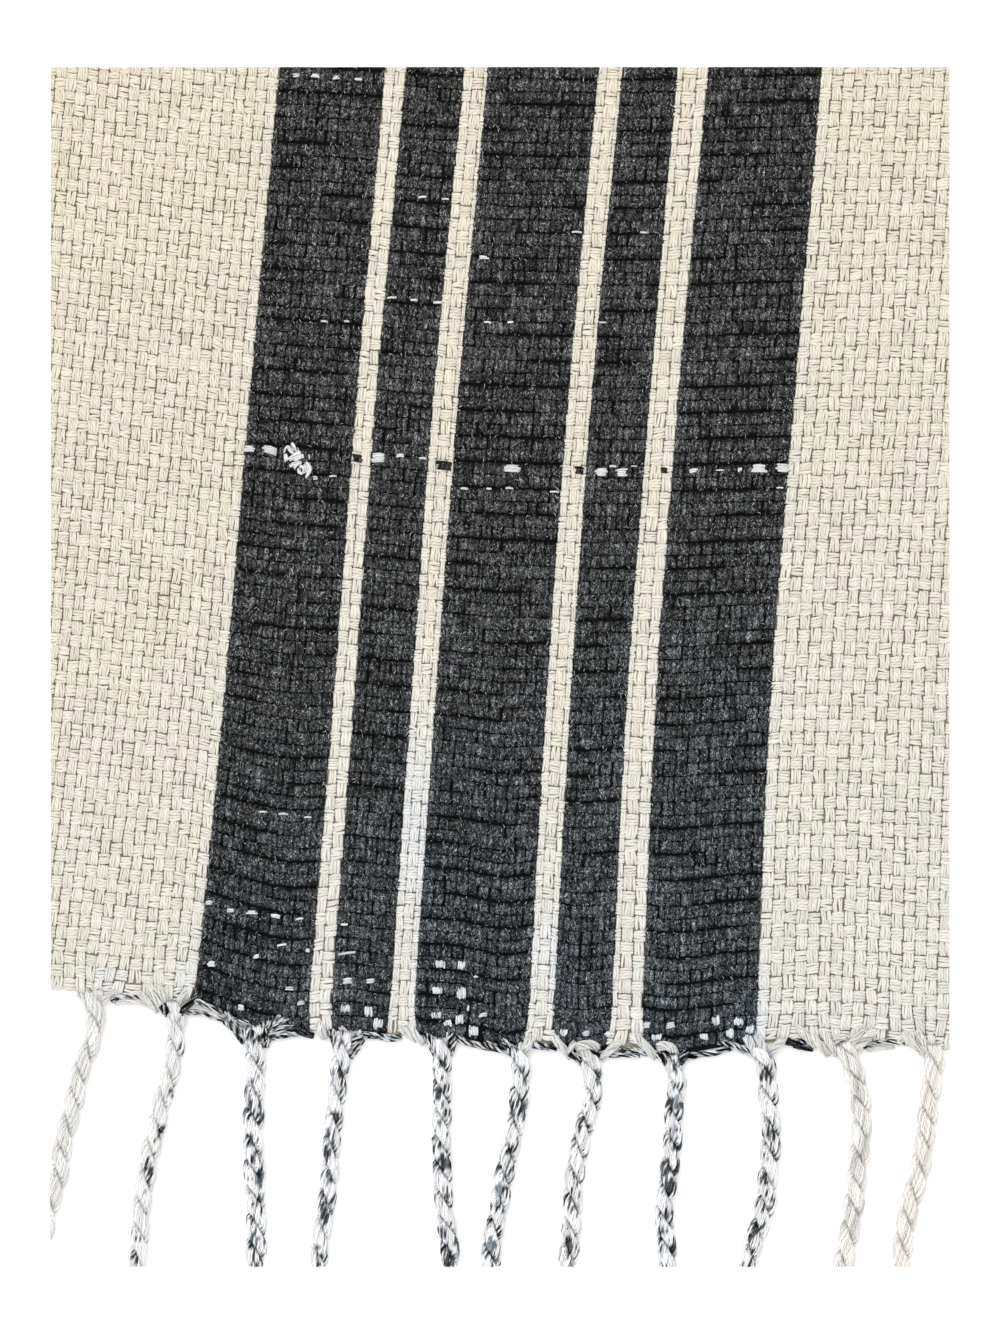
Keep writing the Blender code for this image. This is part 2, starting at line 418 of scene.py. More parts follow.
@dataclass
class Strands:
    """Closed strands, each a ball drawn out along its own route, which become one mesh."""

    sides: int
    stations: int
    next_along: float = 7.3
    along_cycle: int = 997
    next_across: float = 1.7
    across_cycle: int = 89
    routes: list[Array] = field(default_factory=list)
    wide: list[Array] = field(default_factory=list)
    tall: list[Array] = field(default_factory=list)
    looks: list[Array] = field(default_factory=list)

    def add(self, route: Array, wide: Array | float, tall: Array | float, dye: Array | float,
            bleach: Array | float = 0.0, shade: Array | float = 0.0) -> None:
        """Add some strands.

        Args:
            route: their middle lines, (strands, stations, 3).
            wide: half their widths.
            tall: half their heights.
            dye: 0 cream to 1 charcoal.
            bleach: 0 as dyed to 1 washed out.
            shade: below 0 darker, above 0 lighter; it holds random tone and painted shade.
        """
        flat = route.shape[:2]
        self.routes.append(route)
        self.wide.append(np.broadcast_to(wide, flat))
        self.tall.append(np.broadcast_to(tall, flat))
        self.looks.append(np.stack([np.broadcast_to(look, flat) for look in (dye, bleach, shade)], axis=2))

    def _template(self) -> Mesh:
        """The ball that every strand is drawn from.

        Returns:
            Its mesh.
        """
        shape = bmesh.new()
        bmesh.ops.create_uvsphere(shape, u_segments=self.sides, v_segments=self.stations - 1, radius=1.0)
        return as_mesh("strand", shape)

    def _joined(self, name: str, template: Mesh, points: Array, yarn: Array,
                looks: Array) -> Mesh:
        """Repeat the template's faces over the points of every strand.

        Args:
            name: the mesh's name.
            template: the ball.
            points: (strands, template points, 3), in millimetres.
            yarn: the strands' own coordinates at those points.
            looks: dye, bleach and shade at those points.

        Returns:
            One mesh of all the strands.
        """
        corners = np.empty(len(template.loops), np.int32)
        template.loops.foreach_get("vertex_index", corners)
        starts = np.empty(len(template.polygons), np.int32)
        template.polygons.foreach_get("loop_start", starts)
        order = np.arange(len(points), dtype=np.int32)[:, None]
        mesh = bpy.data.meshes.new(name)
        mesh.vertices.add(points.shape[0] * points.shape[1])
        mesh.vertices.foreach_set("co", (points * MM).astype(np.float32).ravel())
        mesh.loops.add(len(points) * len(corners))
        mesh.loops.foreach_set("vertex_index", (corners + order * points.shape[1]).ravel())
        mesh.polygons.add(len(points) * len(starts))
        mesh.polygons.foreach_set("loop_start", (starts + order * len(corners)).ravel())
        mesh.update(calc_edges=True)
        mesh.shade_smooth()
        mesh.attributes.new("yarn", "FLOAT_VECTOR", "POINT").data.foreach_set("vector", yarn.ravel())
        for number, look in enumerate(("dye", "bleach", "shade")):
            hold(mesh, look, looks[:, :, number])
        return mesh

    def mesh(self, name: str) -> Mesh:
        """Draw all the strands and trim them square.

        Args:
            name: the mesh's name.

        Returns:
            One mesh.
        """
        template = self._template()
        ball = points_of(template)
        part = np.arccos(np.clip(ball[:, 2], -1.0, 1.0)) / math.pi
        station = np.rint(part * (self.stations - 1)).astype(int)
        angle = np.arctan2(ball[:, 1], ball[:, 0])
        round_part = np.where((station == 0) | (station == self.stations - 1), 0.0, 1.0)
        route = np.concatenate(self.routes)
        heading = np.gradient(route, axis=1)
        heading /= np.linalg.norm(heading, axis=2, keepdims=True) + TINY
        side = np.cross(heading, (0.0, 0.0, 1.0))
        side /= np.linalg.norm(side, axis=2, keepdims=True) + TINY
        up = np.cross(-heading, side)
        outward = np.concatenate(self.wide)[:, station] * round_part * np.cos(angle)
        upward = np.concatenate(self.tall)[:, station] * round_part * np.sin(angle)
        points = route[:, station] + side[:, station] * outward[..., None]
        points = points + up[:, station] * upward[..., None]
        points[..., 2] = np.maximum(points[..., 2], LOWEST)
        steps = np.linalg.norm(np.diff(route, axis=1), axis=2)
        length = np.concatenate([np.zeros((len(route), 1)), np.cumsum(steps, axis=1)], axis=1)[:, station]
        number = np.arange(len(route))[:, None]
        lengthwise = length + self.next_along * (number % self.along_cycle)
        crosswise = outward + self.next_across * (number % self.across_cycle)
        yarn = np.stack([lengthwise, crosswise, upward], axis=2).astype(np.float32)
        looks = np.concatenate(self.looks)[:, station]
        past = outside(points)
        gone = past.all(axis=1)
        crossing = past.any(axis=1) & ~gone
        whole = ~crossing & ~gone
        shape = bmesh.new()
        if crossing.any():
            cut = self._joined(name, template, points[crossing], yarn[crossing], looks[crossing])
            shape.from_mesh(cut)
            trim(shape)
            bpy.data.meshes.remove(cut)
        mesh = self._joined(name, template, points[whole], yarn[whole], looks[whole])
        shape.from_mesh(mesh)
        shape.to_mesh(mesh)
        shape.free()
        bpy.data.meshes.remove(template)
        return mesh


class Value:
    """A number that varies over a surface: a socket that can be used in sums."""

    def __init__(self, graph: "Graph", socket: Socket) -> None:
        """Wrap a socket."""
        self.graph = graph
        self.socket = socket

    def _maths(self, operation: str, first: object, second: object = 0.0) -> "Value":
        """Add a Math node."""
        return self.graph.value("ShaderNodeMath", {"operation": operation}, {0: first, 1: second})

    def __add__(self, other: object) -> "Value":
        """This plus other."""
        return self._maths("ADD", self, other)

    def __radd__(self, other: object) -> "Value":
        """Other plus this."""
        return self._maths("ADD", other, self)

    def __sub__(self, other: object) -> "Value":
        """This less other."""
        return self._maths("SUBTRACT", self, other)

    def __rsub__(self, other: object) -> "Value":
        """Other less this."""
        return self._maths("SUBTRACT", other, self)

    def __mul__(self, other: object) -> "Value":
        """This times other."""
        return self._maths("MULTIPLY", self, other)

    def __rmul__(self, other: object) -> "Value":
        """Other times this."""
        return self._maths("MULTIPLY", other, self)

    def size(self) -> "Value":
        """How far this is from 0."""
        return self._maths("ABSOLUTE", self)

    def over(self, low: float, high: float) -> "Value":
        """How far this has come from low to high, softly, from 0 to 1."""
        settings = {"interpolation_type": "SMOOTHSTEP"}
        return self.graph.value("ShaderNodeMapRange", settings, {0: self, 1: low, 2: high})


class Graph:
    """A material's nodes."""

    shine: float = 0.1

    def __init__(self, name: str) -> None:
        """Start a material that has only its output.

        Args:
            name: the material's name.
        """
        self.material = bpy.data.materials.new(name)
        self.material.use_nodes = True
        self.tree = self.material.node_tree
        self.tree.nodes.clear()
        self.output = self.tree.nodes.new("ShaderNodeOutputMaterial")

    def node(self, kind: str, settings: dict[str, object], sockets: dict[object, object]) -> bpy.types.Node:
        """Add a node.

        Args:
            kind: its type.
            settings: its settings, set first; stops are a ramp's places and colours.
            sockets: a value, a socket or a Value for each input, by name or number.

        Returns:
            The node.
        """
        node = self.tree.nodes.new(kind)
        for name, setting in settings.items():
            if name == "stops":
                self._set_stops(node.color_ramp.elements, setting)
            else:
                setattr(node, name, setting)
        for name, value in sockets.items():
            source = value.socket if isinstance(value, Value) else value
            if isinstance(source, Socket):
                self.tree.links.new(source, node.inputs[name])
            else:
                node.inputs[name].default_value = source
        return node

    @staticmethod
    def _set_stops(elements: bpy.types.ColorRampElements, stops: object) -> None:
        """Give a ramp its places and colours.

        Args:
            elements: the ramp's stops.
            stops: pairs of a place and a colour.
        """
        while len(elements) < len(stops):
            elements.new(1.0)
        for element, (place, colour) in zip(elements, stops):
            element.position = place
            element.color = (*colour, 1.0)

    def value(self, kind: str, settings: dict[str, object], sockets: dict[object, object]) -> Value:
        """Add a node whose first output is a number."""
        return Value(self, self.node(kind, settings, sockets).outputs[0])

    def attribute(self, name: str) -> Value:
        """A number that the mesh holds."""
        node = self.node("ShaderNodeAttribute", {"attribute_name": name}, {})
        return Value(self, node.outputs["Fac"])

    def noise(self, place: object, scale: float, grain: Pair, twist: float = 0.0) -> Value:
        """Cloudy noise from 0 to 1; its grain is how many finer layers it has, and how strong they are."""
        sockets = {"Vector": place, "Scale": scale, "Detail": grain[0], "Roughness": grain[1]}
        return self.value("ShaderNodeTexNoise", {}, {**sockets, "Distortion": twist})

    def stretched(self, place: object, scale: Triple) -> Socket:
        """A vector, scaled in each direction."""
        return self.node("ShaderNodeVectorMath", {"operation": "MULTIPLY"}, {0: place, 1: scale}).outputs[0]

    def grey(self, light: Value) -> Socket:
        """A number as a grey."""
        return self.node("ShaderNodeCombineXYZ", {}, {0: light, 1: light, 2: light}).outputs[0]

    def wave(self, place: Value) -> Value:
        """The sine of a number."""
        return self.value("ShaderNodeMath", {"operation": "SINE"}, {0: place})

    def bump(self, strength: float, distance: float, height: Value) -> Socket:
        """A normal, tilted by the slope of a height."""
        sockets = {"Strength": strength, "Distance": distance, "Height": height}
        return self.node("ShaderNodeBump", {}, sockets).outputs[0]

    def surface(self, sockets: dict[str, object]) -> bpy.types.Material:
        """Finish the material with one shader that hardly shines.

        Args:
            sockets: what the shader's inputs are given.

        Returns:
            The material.
        """
        shader = self.node("ShaderNodeBsdfPrincipled", {}, {**sockets, "Specular IOR Level": self.shine})
        self.tree.links.new(shader.outputs[0], self.output.inputs[0])
        return self.material

    def mix(self, part: object, first: object, second: object, way: str = "MIX") -> Socket:
        """Mix two colours.

        Args:
            part: how much of the second.
            first: a colour or its socket.
            second: a colour or its socket.
            way: how they mix.

        Returns:
            The mixed colour's socket.
        """
        node = self.node("ShaderNodeMix", {"data_type": "RGBA", "blend_type": way}, {})
        for name, value in (("Factor_Float", part), ("A_Color", first), ("B_Color", second)):
            socket = next(item for item in node.inputs if item.identifier == name)
            source = value.socket if isinstance(value, Value) else value
            if isinstance(source, Socket):
                self.tree.links.new(source, socket)
            else:
                socket.default_value = (*source, 1.0) if isinstance(source, tuple) else source
        return next(item for item in node.outputs if item.identifier == "Result_Color")


@dataclass(frozen=True)
class YarnFinish:
    """Cotton yarn: two dyes, fibres along each strand, and curls of undyed fibre in the charcoal."""

    name: str
    cream: Triple = (0.708, 0.652, 0.543)
    pale: Triple = (0.690, 0.722, 0.755)
    warm_tint: Triple = (1.0, 0.99, 0.97)
    cold_tint: Triple = (0.68, 1.0, 1.32)
    charcoal: tuple[tuple[float, Triple], ...] = (
        (0.36, (0.002, 0.002, 0.002)),
        (0.46, (0.020, 0.020, 0.020)),
        (0.56, (0.080, 0.080, 0.080)),
        (0.67, (0.290, 0.290, 0.290)),
        (0.78, (0.640, 0.640, 0.640)),
    )
    fibre_scale: Triple = (0.6, 3.4, 3.4)
    fibre_grain: Pair = (3.0, 0.6)
    fibre_depth: float = 0.14
    twist_pace: Pair = (3.9, 7.5)
    twist_depth: float = 0.095
    twist_height: float = 0.6
    fuzz_scale: Triple = (1150.0, 820.0, 1150.0)
    fuzz_grain: Pair = (2.0, 0.6)
    fuzz_twist: float = 2.4
    fuzz_share: float = 0.85
    curl_scale: Triple = (900.0, 620.0, 900.0)
    curl_grain: Pair = (1.0, 0.5)
    curl_twist: float = 2.2
    curl_width: float = 0.035
    curl_share: float = 0.25
    curl_depth: float = 0.16
    shade_depth: float = 0.045
    wander: float = 0.0
    cloud_scale: float = 230.0
    cloud_grain: Pair = (1.0, 0.5)
    cloud_range: Pair = (0.3, 0.7)
    greener: Triple = (0.985, 1.006, 0.990)
    pinker: Triple = (1.014, 0.994, 1.008)
    bump: float = 0.3
    bump_distance: float = 0.0002
    roughness: float = 0.92

    def material(self) -> bpy.types.Material:
        """Build the finish.

        Returns:
            The material.
        """
        graph = Graph(self.name)
        yarn = graph.node("ShaderNodeAttribute", {"attribute_name": "yarn"}, {}).outputs["Vector"]
        place = graph.node("ShaderNodeTexCoord", {}, {}).outputs["Object"]
        fibre = graph.noise(graph.stretched(yarn, self.fibre_scale), 1.0, self.fibre_grain)
        parts = graph.node("ShaderNodeSeparateXYZ", {}, {0: yarn}).outputs
        length, outward = (Value(graph, part) for part in parts[:2])
        twist = graph.wave(length * self.twist_pace[0] + outward * self.twist_pace[1])
        fuzz = graph.noise(graph.stretched(place, self.fuzz_scale), 1.0, self.fuzz_grain, self.fuzz_twist)
        contour = graph.noise(graph.stretched(place, self.curl_scale), 1.0, self.curl_grain, self.curl_twist)
        curl = 1.0 - (contour - 0.5).size().over(0.0, self.curl_width)
        bleach = graph.attribute("bleach")
        shade = graph.attribute("shade")
        strokes = (fibre - 0.5) * (2.0 * self.fibre_depth) + twist * self.twist_depth
        # The shade attribute holds random tone and painted shade: dark seams, creases, cores and float ends.
        light = 1.0 + shade * self.shade_depth + strokes
        cream = graph.mix(1.0, graph.mix(bleach, self.cream, self.pale), graph.grey(light), "MULTIPLY")
        depth = fuzz * self.fuzz_share + fibre * (1.0 - self.fuzz_share)
        depth = depth + (curl - self.curl_share) * self.curl_depth + shade * self.shade_depth
        ramp = graph.node("ShaderNodeValToRGB", {"stops": self.charcoal}, {0: depth}).outputs[0]
        charcoal = graph.mix(1.0, ramp, graph.mix(bleach, self.warm_tint, self.cold_tint), "MULTIPLY")
        dye = graph.attribute("dye") + (fuzz - 0.5) * self.wander
        colour = graph.mix(dye, cream, charcoal)
        cloud = graph.noise(place, self.cloud_scale, self.cloud_grain).over(*self.cloud_range)
        colour = graph.mix(1.0, colour, graph.mix(cloud, self.greener, self.pinker), "MULTIPLY")
        bump = graph.bump(self.bump, self.bump_distance, fibre + twist * self.twist_height)
        return graph.surface({"Base Color": colour, "Roughness": self.roughness, "Normal": bump})


@dataclass(frozen=True)
class GroundFinish:
    """The cloth behind the floats: its top is painted dark as the shade between them, and it is as light as
    they are on its sides and its back.
    """

    name: str
    # Painted shade: the colours of the top, which shows only in the gaps between the floats.
    shaded_cream: Triple = (0.360, 0.312, 0.234)
    shaded_charcoal: Triple = (0.006, 0.006, 0.006)
    open_cream: Triple = (0.640, 0.590, 0.490)
    open_charcoal: Triple = (0.035, 0.035, 0.035)
    weave_scale: float = 1150.0
    weave_depth: float = 0.1
    cloud_scale: float = 600.0
    cloud_grain: Pair = (3.0, 0.5)
    cloud_depth: float = 0.2
    least_light: float = 0.85
    shaded_top_range: Pair = (0.3, 0.7)
    bump: float = 0.6
    bump_distance: float = 0.0003
    roughness: float = 0.95

    def material(self) -> bpy.types.Material:
        """Build the finish.

        Returns:
            The material.
        """
        graph = Graph(self.name)
        place = graph.node("ShaderNodeTexCoord", {}, {}).outputs["Object"]
        scaled = graph.stretched(place, (self.weave_scale, self.weave_scale, 0.0))
        parts = graph.node("ShaderNodeSeparateXYZ", {}, {0: scaled})
        height = graph.wave(Value(graph, parts.outputs[0])) * graph.wave(Value(graph, parts.outputs[1]))
        cloud = graph.noise(place, self.cloud_scale, self.cloud_grain)
        light = self.least_light + height * self.weave_depth + cloud * self.cloud_depth
        normal = graph.node("ShaderNodeNewGeometry", {}, {}).outputs["Normal"]
        upright = graph.node("ShaderNodeSeparateXYZ", {}, {0: normal}).outputs[2]
        # Faces that look up get the painted-shade colours; the sides and the back get the plain ones.
        shaded_top = Value(graph, upright).over(*self.shaded_top_range)
        dye = graph.attribute("dye")
        deep = graph.mix(dye, self.shaded_cream, self.shaded_charcoal)
        plain = graph.mix(dye, self.open_cream, self.open_charcoal)
        colour = graph.mix(1.0, graph.mix(shaded_top, plain, deep), graph.grey(light), "MULTIPLY")
        bump = graph.bump(self.bump, self.bump_distance, height)
        return graph.surface({"Base Color": colour, "Roughness": self.roughness, "Normal": bump})


@dataclass(frozen=True)
class Wash:
    """A place where the dye has washed out: its middle, its reach and how far it has gone."""

    across: float
    along: float
    reach_across: float
    reach_along: float
    amount: float


WASHED_DOWN = 0.48
WASHED_CURVE = 1.8
WASHED_RIGHT = 0.16
WASHES = (
    Wash(-20.8, -41.0, 3.5, 26.0, 0.5),
    Wash(12.0, -72.0, 4.0, 12.0, 0.35),
    Wash(-97.4, -78.4, 4.0, 4.0, 0.4),
    Wash(-79.5, -79.0, 3.0, 9.0, 0.3),
    Wash(64.0, -90.0, 4.0, 9.0, 0.3),
)


def cloth_parts(across: Array, along: Array) -> tuple[Array, Array]:
    """How far right and how far down the piece a place lies, each from 0 to 1."""
    right = kept((across + HALF_WIDTH) / (2.0 * HALF_WIDTH))
    return right, kept((HALF_LENGTH - along) / (2.0 * HALF_LENGTH))


def washed(across: Array, along: Array) -> Array:
    """How washed out the yarn is: more towards the fringe, and most at its lower right.

    Args:
        across: distances across the piece.
        along: distances along the piece.

    Returns:
        0 as dyed to 1 washed out.
    """
    right, down = cloth_parts(across, along)
    amount = WASHED_DOWN * down**WASHED_CURVE + WASHED_RIGHT * right * np.sqrt(down)
    for wash in WASHES:
        beside = (across - wash.across) / wash.reach_across
        below = (along - wash.along) / wash.reach_along
        amount = amount + wash.amount * np.exp(-(beside**2 + below**2))
    return kept(amount)


def in_picture(right: Array | float, below: Array | float) -> tuple[Array, Array]:
    """Distances across and along the piece, from those right of and below the picture's corner."""
    return (right - PICTURE_MIDDLE[0]) / PICTURE_SCALE, (PICTURE_MIDDLE[1] - below) / PICTURE_SCALE


@dataclass(frozen=True)
class Cord:
    """One twisted cord.

    It has the share of charcoal in each ply, where its first ply starts, how washed out and how thick it
    is, the first points of its middle line, how far across that lies at each of the cords' levels, and the
    places of its dark patches in the picture.
    """

    charcoal: Pair
    first_turn: float
    bleach: float
    thickness: float
    head: Places
    lower: Numbers
    patches: Places = ()
    patch_half: Pair = (1.4, 2.5)
    patch_softness: float = 2.0

    def route(self) -> Places:
        """The points of its middle line, down to the cut."""
        return (*self.head, *zip(self.lower, CORD_LEVELS))

    def patched(self, route: Array) -> Array:
        """How deep in a dark patch each point of a strand lies.

        Args:
            route: the strand's points.

        Returns:
            0 outside the patches to 1 inside.
        """
        amount = np.zeros(len(route))
        for right, below in self.patches:
            across, along = in_picture(right, below)
            beside = (route[:, 0] - across) / self.patch_half[0]
            away = np.hypot(beside, (route[:, 1] - along) / self.patch_half[1])
            amount = np.maximum(amount, smooth_step((1.0 - away) * self.patch_softness))
        return amount


CORD_LEVELS = (-108.9, -117.9, -126.9, -135.9, -144.9, -149.7)
CORDS = (
    Cord(
        (0.0, 0.0), 0.1, 0.65, 0.97, ((-101.4, -81.5), (-101.0, -90.4), (-104.4, -99.9)),
        (-106.4, -108.9, -110.2, -112.7, -114.4, -115.0),
    ),
    Cord(
        (0.04, 0.03), 0.87, 0.75, 0.93, ((-81.4, -84.0), (-80.9, -91.0), (-81.9, -99.9)),
        (-84.4, -86.4, -88.4, -89.4, -90.1, -90.6),
        ((183, 1047), (173, 1090), (161, 1130), (149, 1166), (146, 1184), (135, 1256)),
    ),
    Cord(
        (0.31, 0.27), 0.7, 1.0, 1.01, ((-61.6, -89.8), (-60.9, -99.9)),
        (-61.4, -61.6, -61.4, -60.9, -60.9, -60.9),
        ((267, 1042), (245, 1087), (266, 1104), (249, 1138), (262, 1117), (255, 1156), (260, 1176),
         (261, 1198), (252, 1250)),
    ),
    Cord(
        (0.27, 0.23), 0.2, 1.0, 0.86, ((-38.9, -91.4), (-39.9, -99.9)),
        (-40.9, -41.9, -42.4, -43.6, -44.9, -45.1),
        ((352, 1060), (345, 1086), (335, 1118), (327, 1152), (331, 1175), (325, 1213), (318, 1251)),
    ),
    Cord(
        (0.28, 0.24), 0.5, 1.0, 0.93, ((-14.6, -93.4), (-14.4, -99.9)),
        (-14.4, -14.6, -14.4, -13.9, -12.6, -12.4),
        ((442, 1061), (433, 1074), (448, 1113), (435, 1142), (445, 1159), (448, 1199), (455, 1239),
         (449, 1257)),
    ),
    Cord(
        (0.28, 0.24), 0.9, 0.95, 0.95, ((4.4, -95.8), (5.3, -101.0)), (4.6, 3.1, 1.1, -0.4, -2.1, -2.1),
        ((528, 1076), (517, 1125), (524, 1105), (512, 1150), (501, 1185), (499, 1210), (490, 1240),
         (490, 1258)),
    ),
    Cord(
        (0.2, 0.17), 0.3, 0.85, 0.96, ((21.6, -97.0), (22.9, -101.0)), (22.9, 20.3, 18.6, 18.1, 17.4, 16.8),
        ((598, 1077), (578, 1130), (588, 1118), (585, 1172), (573, 1211), (570, 1240)),
    ),
    Cord(
        (0.37, 0.34), 0.6, 1.0, 0.93, ((42.8, -97.2), (44.1, -102.9)), (43.6, 43.1, 42.1, 41.1, 41.6, 41.9),
        ((677, 1084), (674, 1129), (668, 1104), (667, 1166), (671, 1184), (662, 1232), (669, 1250),
         (677, 1148)),
    ),
    Cord(
        (0.21, 0.17), 0.0, 0.9, 0.98, ((64.2, -94.8), (66.4, -99.9)), (67.1, 67.6, 66.9, 65.9, 63.1, 61.9),
        ((764, 1073), (768, 1129), (775, 1153), (762, 1177), (770, 1203), (755, 1226), (752, 1250)),
    ),
    Cord(
        (0.0, 0.0), 0.16, 0.57, 1.0, ((85.4, -94.2), (87.9, -99.9)), (90.1, 90.1, 89.1, 88.1, 86.6, 85.6),
    ),
    Cord(
        (0.0, 0.0), 0.33, 0.42, 1.0, ((108.4, -94.5), (108.4, -99.9)),
        (107.1, 106.1, 104.6, 102.1, 100.6, 100.4),
    ),
)


@dataclass(frozen=True)
class PlyPath:
    """Where one ply runs.

    It has, at each station, the distance along its cord, the cord's middle line and side, and the ply's
    turn, size and height; and how flat the cord lies.
    """

    distance: Array
    axis: Array
    side: Array
    turn: Array
    size: Array
    rise: Array
    squash: float

    def route(self, outward: Array, sideways: Array) -> Array:
        """A strand's route, from where it lies in the ply's section.

        Args:
            outward: how far it lies from the other ply.
            sideways: how far it lies to the side.

        Returns:
            One route, (1, stations, 3).
        """
        beside = (outward * np.cos(self.turn) - sideways * np.sin(self.turn)) * self.size
        above = (outward * np.sin(self.turn) + sideways * np.cos(self.turn)) * self.size
        flat = self.axis + self.side * beside[:, None]
        return raised(flat, self.rise + above * self.squash)


@dataclass
class TwistedCords:
    """The cords: two soft plies pressed against each other, and every ply a ring of strands round a core in
    painted shade.
    """

    cords: tuple[Cord, ...] = CORDS
    plies: int = 2
    ply_strands: int = 16
    ply_length: float = 6.7
    ply_offset: float = 1.2
    ply_deep: float = 1.12
    ply_wide: float = 1.68
    strand_radius: float = 0.292
    core_radius: float = 0.86
    core_places: Numbers = (-0.75, 0.0, 0.75)
    core_painted_shade: float = -12.0
    seam_width: float = 0.72
    seam_painted_shade: float = -12.0
    seam_charcoal: float = 0.5
    mixed_from: float = 0.1
    patch_threshold: float = -0.9
    cut_light: float = 1.5
    drift: float = 1.22
    gather: float = 6.0
    root_part: float = 0.85
    inset: float = 1.6
    overrun: float = 2.5
    centre_height: float = 2.3
    root_height: float = 1.9
    squash: float = 0.88
    edge_softness: float = 3.0
    pace_wander: Pair = (0.05, 0.12)
    size_wander: Pair = (0.02, 0.5)
    way_wander: Pair = (0.007, 0.5)
    reach_wander: Pair = (0.03, 0.9)
    shared_dye: Pair = (0.7, 0.35)
    own_dye: Pair = (1.0, 0.55)
    waves: Numbers = (1.0, 0.7, 0.45)
    wave_spread: Pair = (0.8, 1.25)
    radius_spread: float = 0.12
    bleach_spread: float = 0.08
    shade_spread: float = 2.6
    stations: int = 60
    samples: int = 600
    sides: int = 4

    def axis(self, cord: Cord, weave: WeaveMap) -> tuple[Array, Array, Array]:
        """A cord's middle line at even stations.

        Args:
            cord: the cord.
            weave: the map, for the cloth's edge.

        Returns:
            Distances along the cord, its points and its headings, flat.
        """
        points = [list(point) for point in cord.route()]
        points[0][1] = float(weave.edge.at(points[0][0])) + self.inset
        last = np.array(points[-1]) - np.array(points[-2])
        points.append(list(np.array(points[-1]) + last / np.linalg.norm(last) * self.overrun))
        numbers = tuple(float(number) for number in range(len(points)))
        fine = np.linspace(0.0, numbers[-1], self.samples)
        ways = [Line(numbers, tuple(point[way] for point in points)).at(fine) for way in (0, 1)]
        line = np.stack(ways, axis=1)
        lengths = np.concatenate([[0.0], np.cumsum(np.linalg.norm(np.diff(line, axis=0), axis=1))])
        distance = np.linspace(0.0, lengths[-1], self.stations)
        even = np.stack([np.interp(distance, lengths, line[:, way]) for way in (0, 1)], axis=1)
        heading = np.gradient(even, axis=0)
        return distance, even, heading / np.linalg.norm(heading, axis=1, keepdims=True)

    def rim(self) -> tuple[float, Array, Array]:
        """The way round a ply's flattened section.

        Returns:
            Its length, how far round each step lies from 0 to 1, and the angle there.
        """
        angle = np.linspace(0.0, 2.0 * math.pi, self.samples)
        step = np.hypot(self.ply_deep * np.sin(angle), self.ply_wide * np.cos(angle)) * (angle[1] - angle[0])
        travelled = np.concatenate([[0.0], np.cumsum((step[1:] + step[:-1]) / 2.0)])
        return float(travelled[-1]), travelled / travelled[-1], angle

    def _waves(self, draw: Draw, distance: Array, wander: Pair) -> Array:
        """A few waves of different lengths along a strand, added up.

        Args:
            draw: what they are drawn from.
            distance: distances along the strand.
            wander: how strong they are, and how fast the slowest turns.

        Returns:
            Their sum.
        """
        total = np.zeros_like(distance)
        for step, weight in enumerate(self.waves):
            pace = wander[1] * (1.0 + step) * draw.uniform(*self.wave_spread)
            total = total + weight * np.sin(distance * pace + draw.uniform(0.0, 2.0 * math.pi))
        return wander[0] * total

    def strands(self, weave: WeaveMap, seed: int) -> Strands:
        """Every strand of every cord.

        Args:
            weave: the map, for the cloth's edge.
            seed: what the small differences are drawn from.

        Returns:
            The strands.
        """
        made = Strands(self.sides, self.stations)
        draw = np.random.default_rng(seed)
        for cord in self.cords:
            distance, axis, heading = self.axis(cord, weave)
            side = quarter_left(heading)
            pace = distance / self.ply_length + self._waves(draw, distance, self.pace_wander)
            grown = smooth_step(distance / self.gather)
            size = (self.root_part + (1.0 - self.root_part) * grown) * cord.thickness
            size = size * (1.0 + self._waves(draw, distance, self.size_wander))
            rise = self.root_height + (self.centre_height - self.root_height) * grown
            for ply in range(self.plies):
                turn = math.pi * (2.0 * cord.first_turn + ply - pace)
                path = PlyPath(distance, axis, side, turn, size, rise, self.squash)
                self._add_ply(made, draw, cord, cord.charcoal[ply], path)
        return made

    def _add_ply(self, made: Strands, draw: Draw, cord: Cord, charcoal: float,
                 path: PlyPath) -> None:
        """Add the strands of one ply.

        Args:
            made: where they go.
            draw: what the small differences are drawn from.
            cord: the cord.
            charcoal: how much of the ply is charcoal.
            path: where the ply runs.
        """
        distance = path.distance
        rim_length, travelled, angles = self.rim()
        start = draw.uniform(0.0, 1.0)
        shared = self._waves(draw, distance, self.shared_dye)
        mixed = max(cord.charcoal) > self.mixed_from
        for number in range(self.ply_strands):
            way = start + number / self.ply_strands + self.drift * distance / rim_length
            way = way + self._waves(draw, distance, self.way_wander)
            angle = np.interp(way % 1.0, travelled, angles)
            reach = 1.0 + self._waves(draw, distance, self.reach_wander)
            outward = self.ply_offset + self.ply_deep * np.cos(angle) * reach
            level = shared + self._waves(draw, distance, self.own_dye)
            # Strands near the seam between the plies get painted shade there, and in mixed cords extra
            # charcoal dye.
            seam = smooth_step(1.0 - outward / self.seam_width)
            route = path.route(outward, self.ply_wide * np.sin(angle) * reach)
            threshold = np.quantile(level, 1.0 - charcoal)
            threshold = threshold + (self.patch_threshold - threshold) * cord.patched(route[0])
            dye = kept((level - threshold) * self.edge_softness)
            dye = kept(dye + seam * (self.seam_charcoal if mixed else 0.0))
            radius = self.strand_radius * draw.normal(1.0, self.radius_spread)
            bleach = kept(cord.bleach + draw.normal(0.0, self.bleach_spread))
            shade = draw.normal(0.0, self.shade_spread) + self.seam_painted_shade * seam
            made.add(route, radius, radius, dye[None], bleach, shade[None])
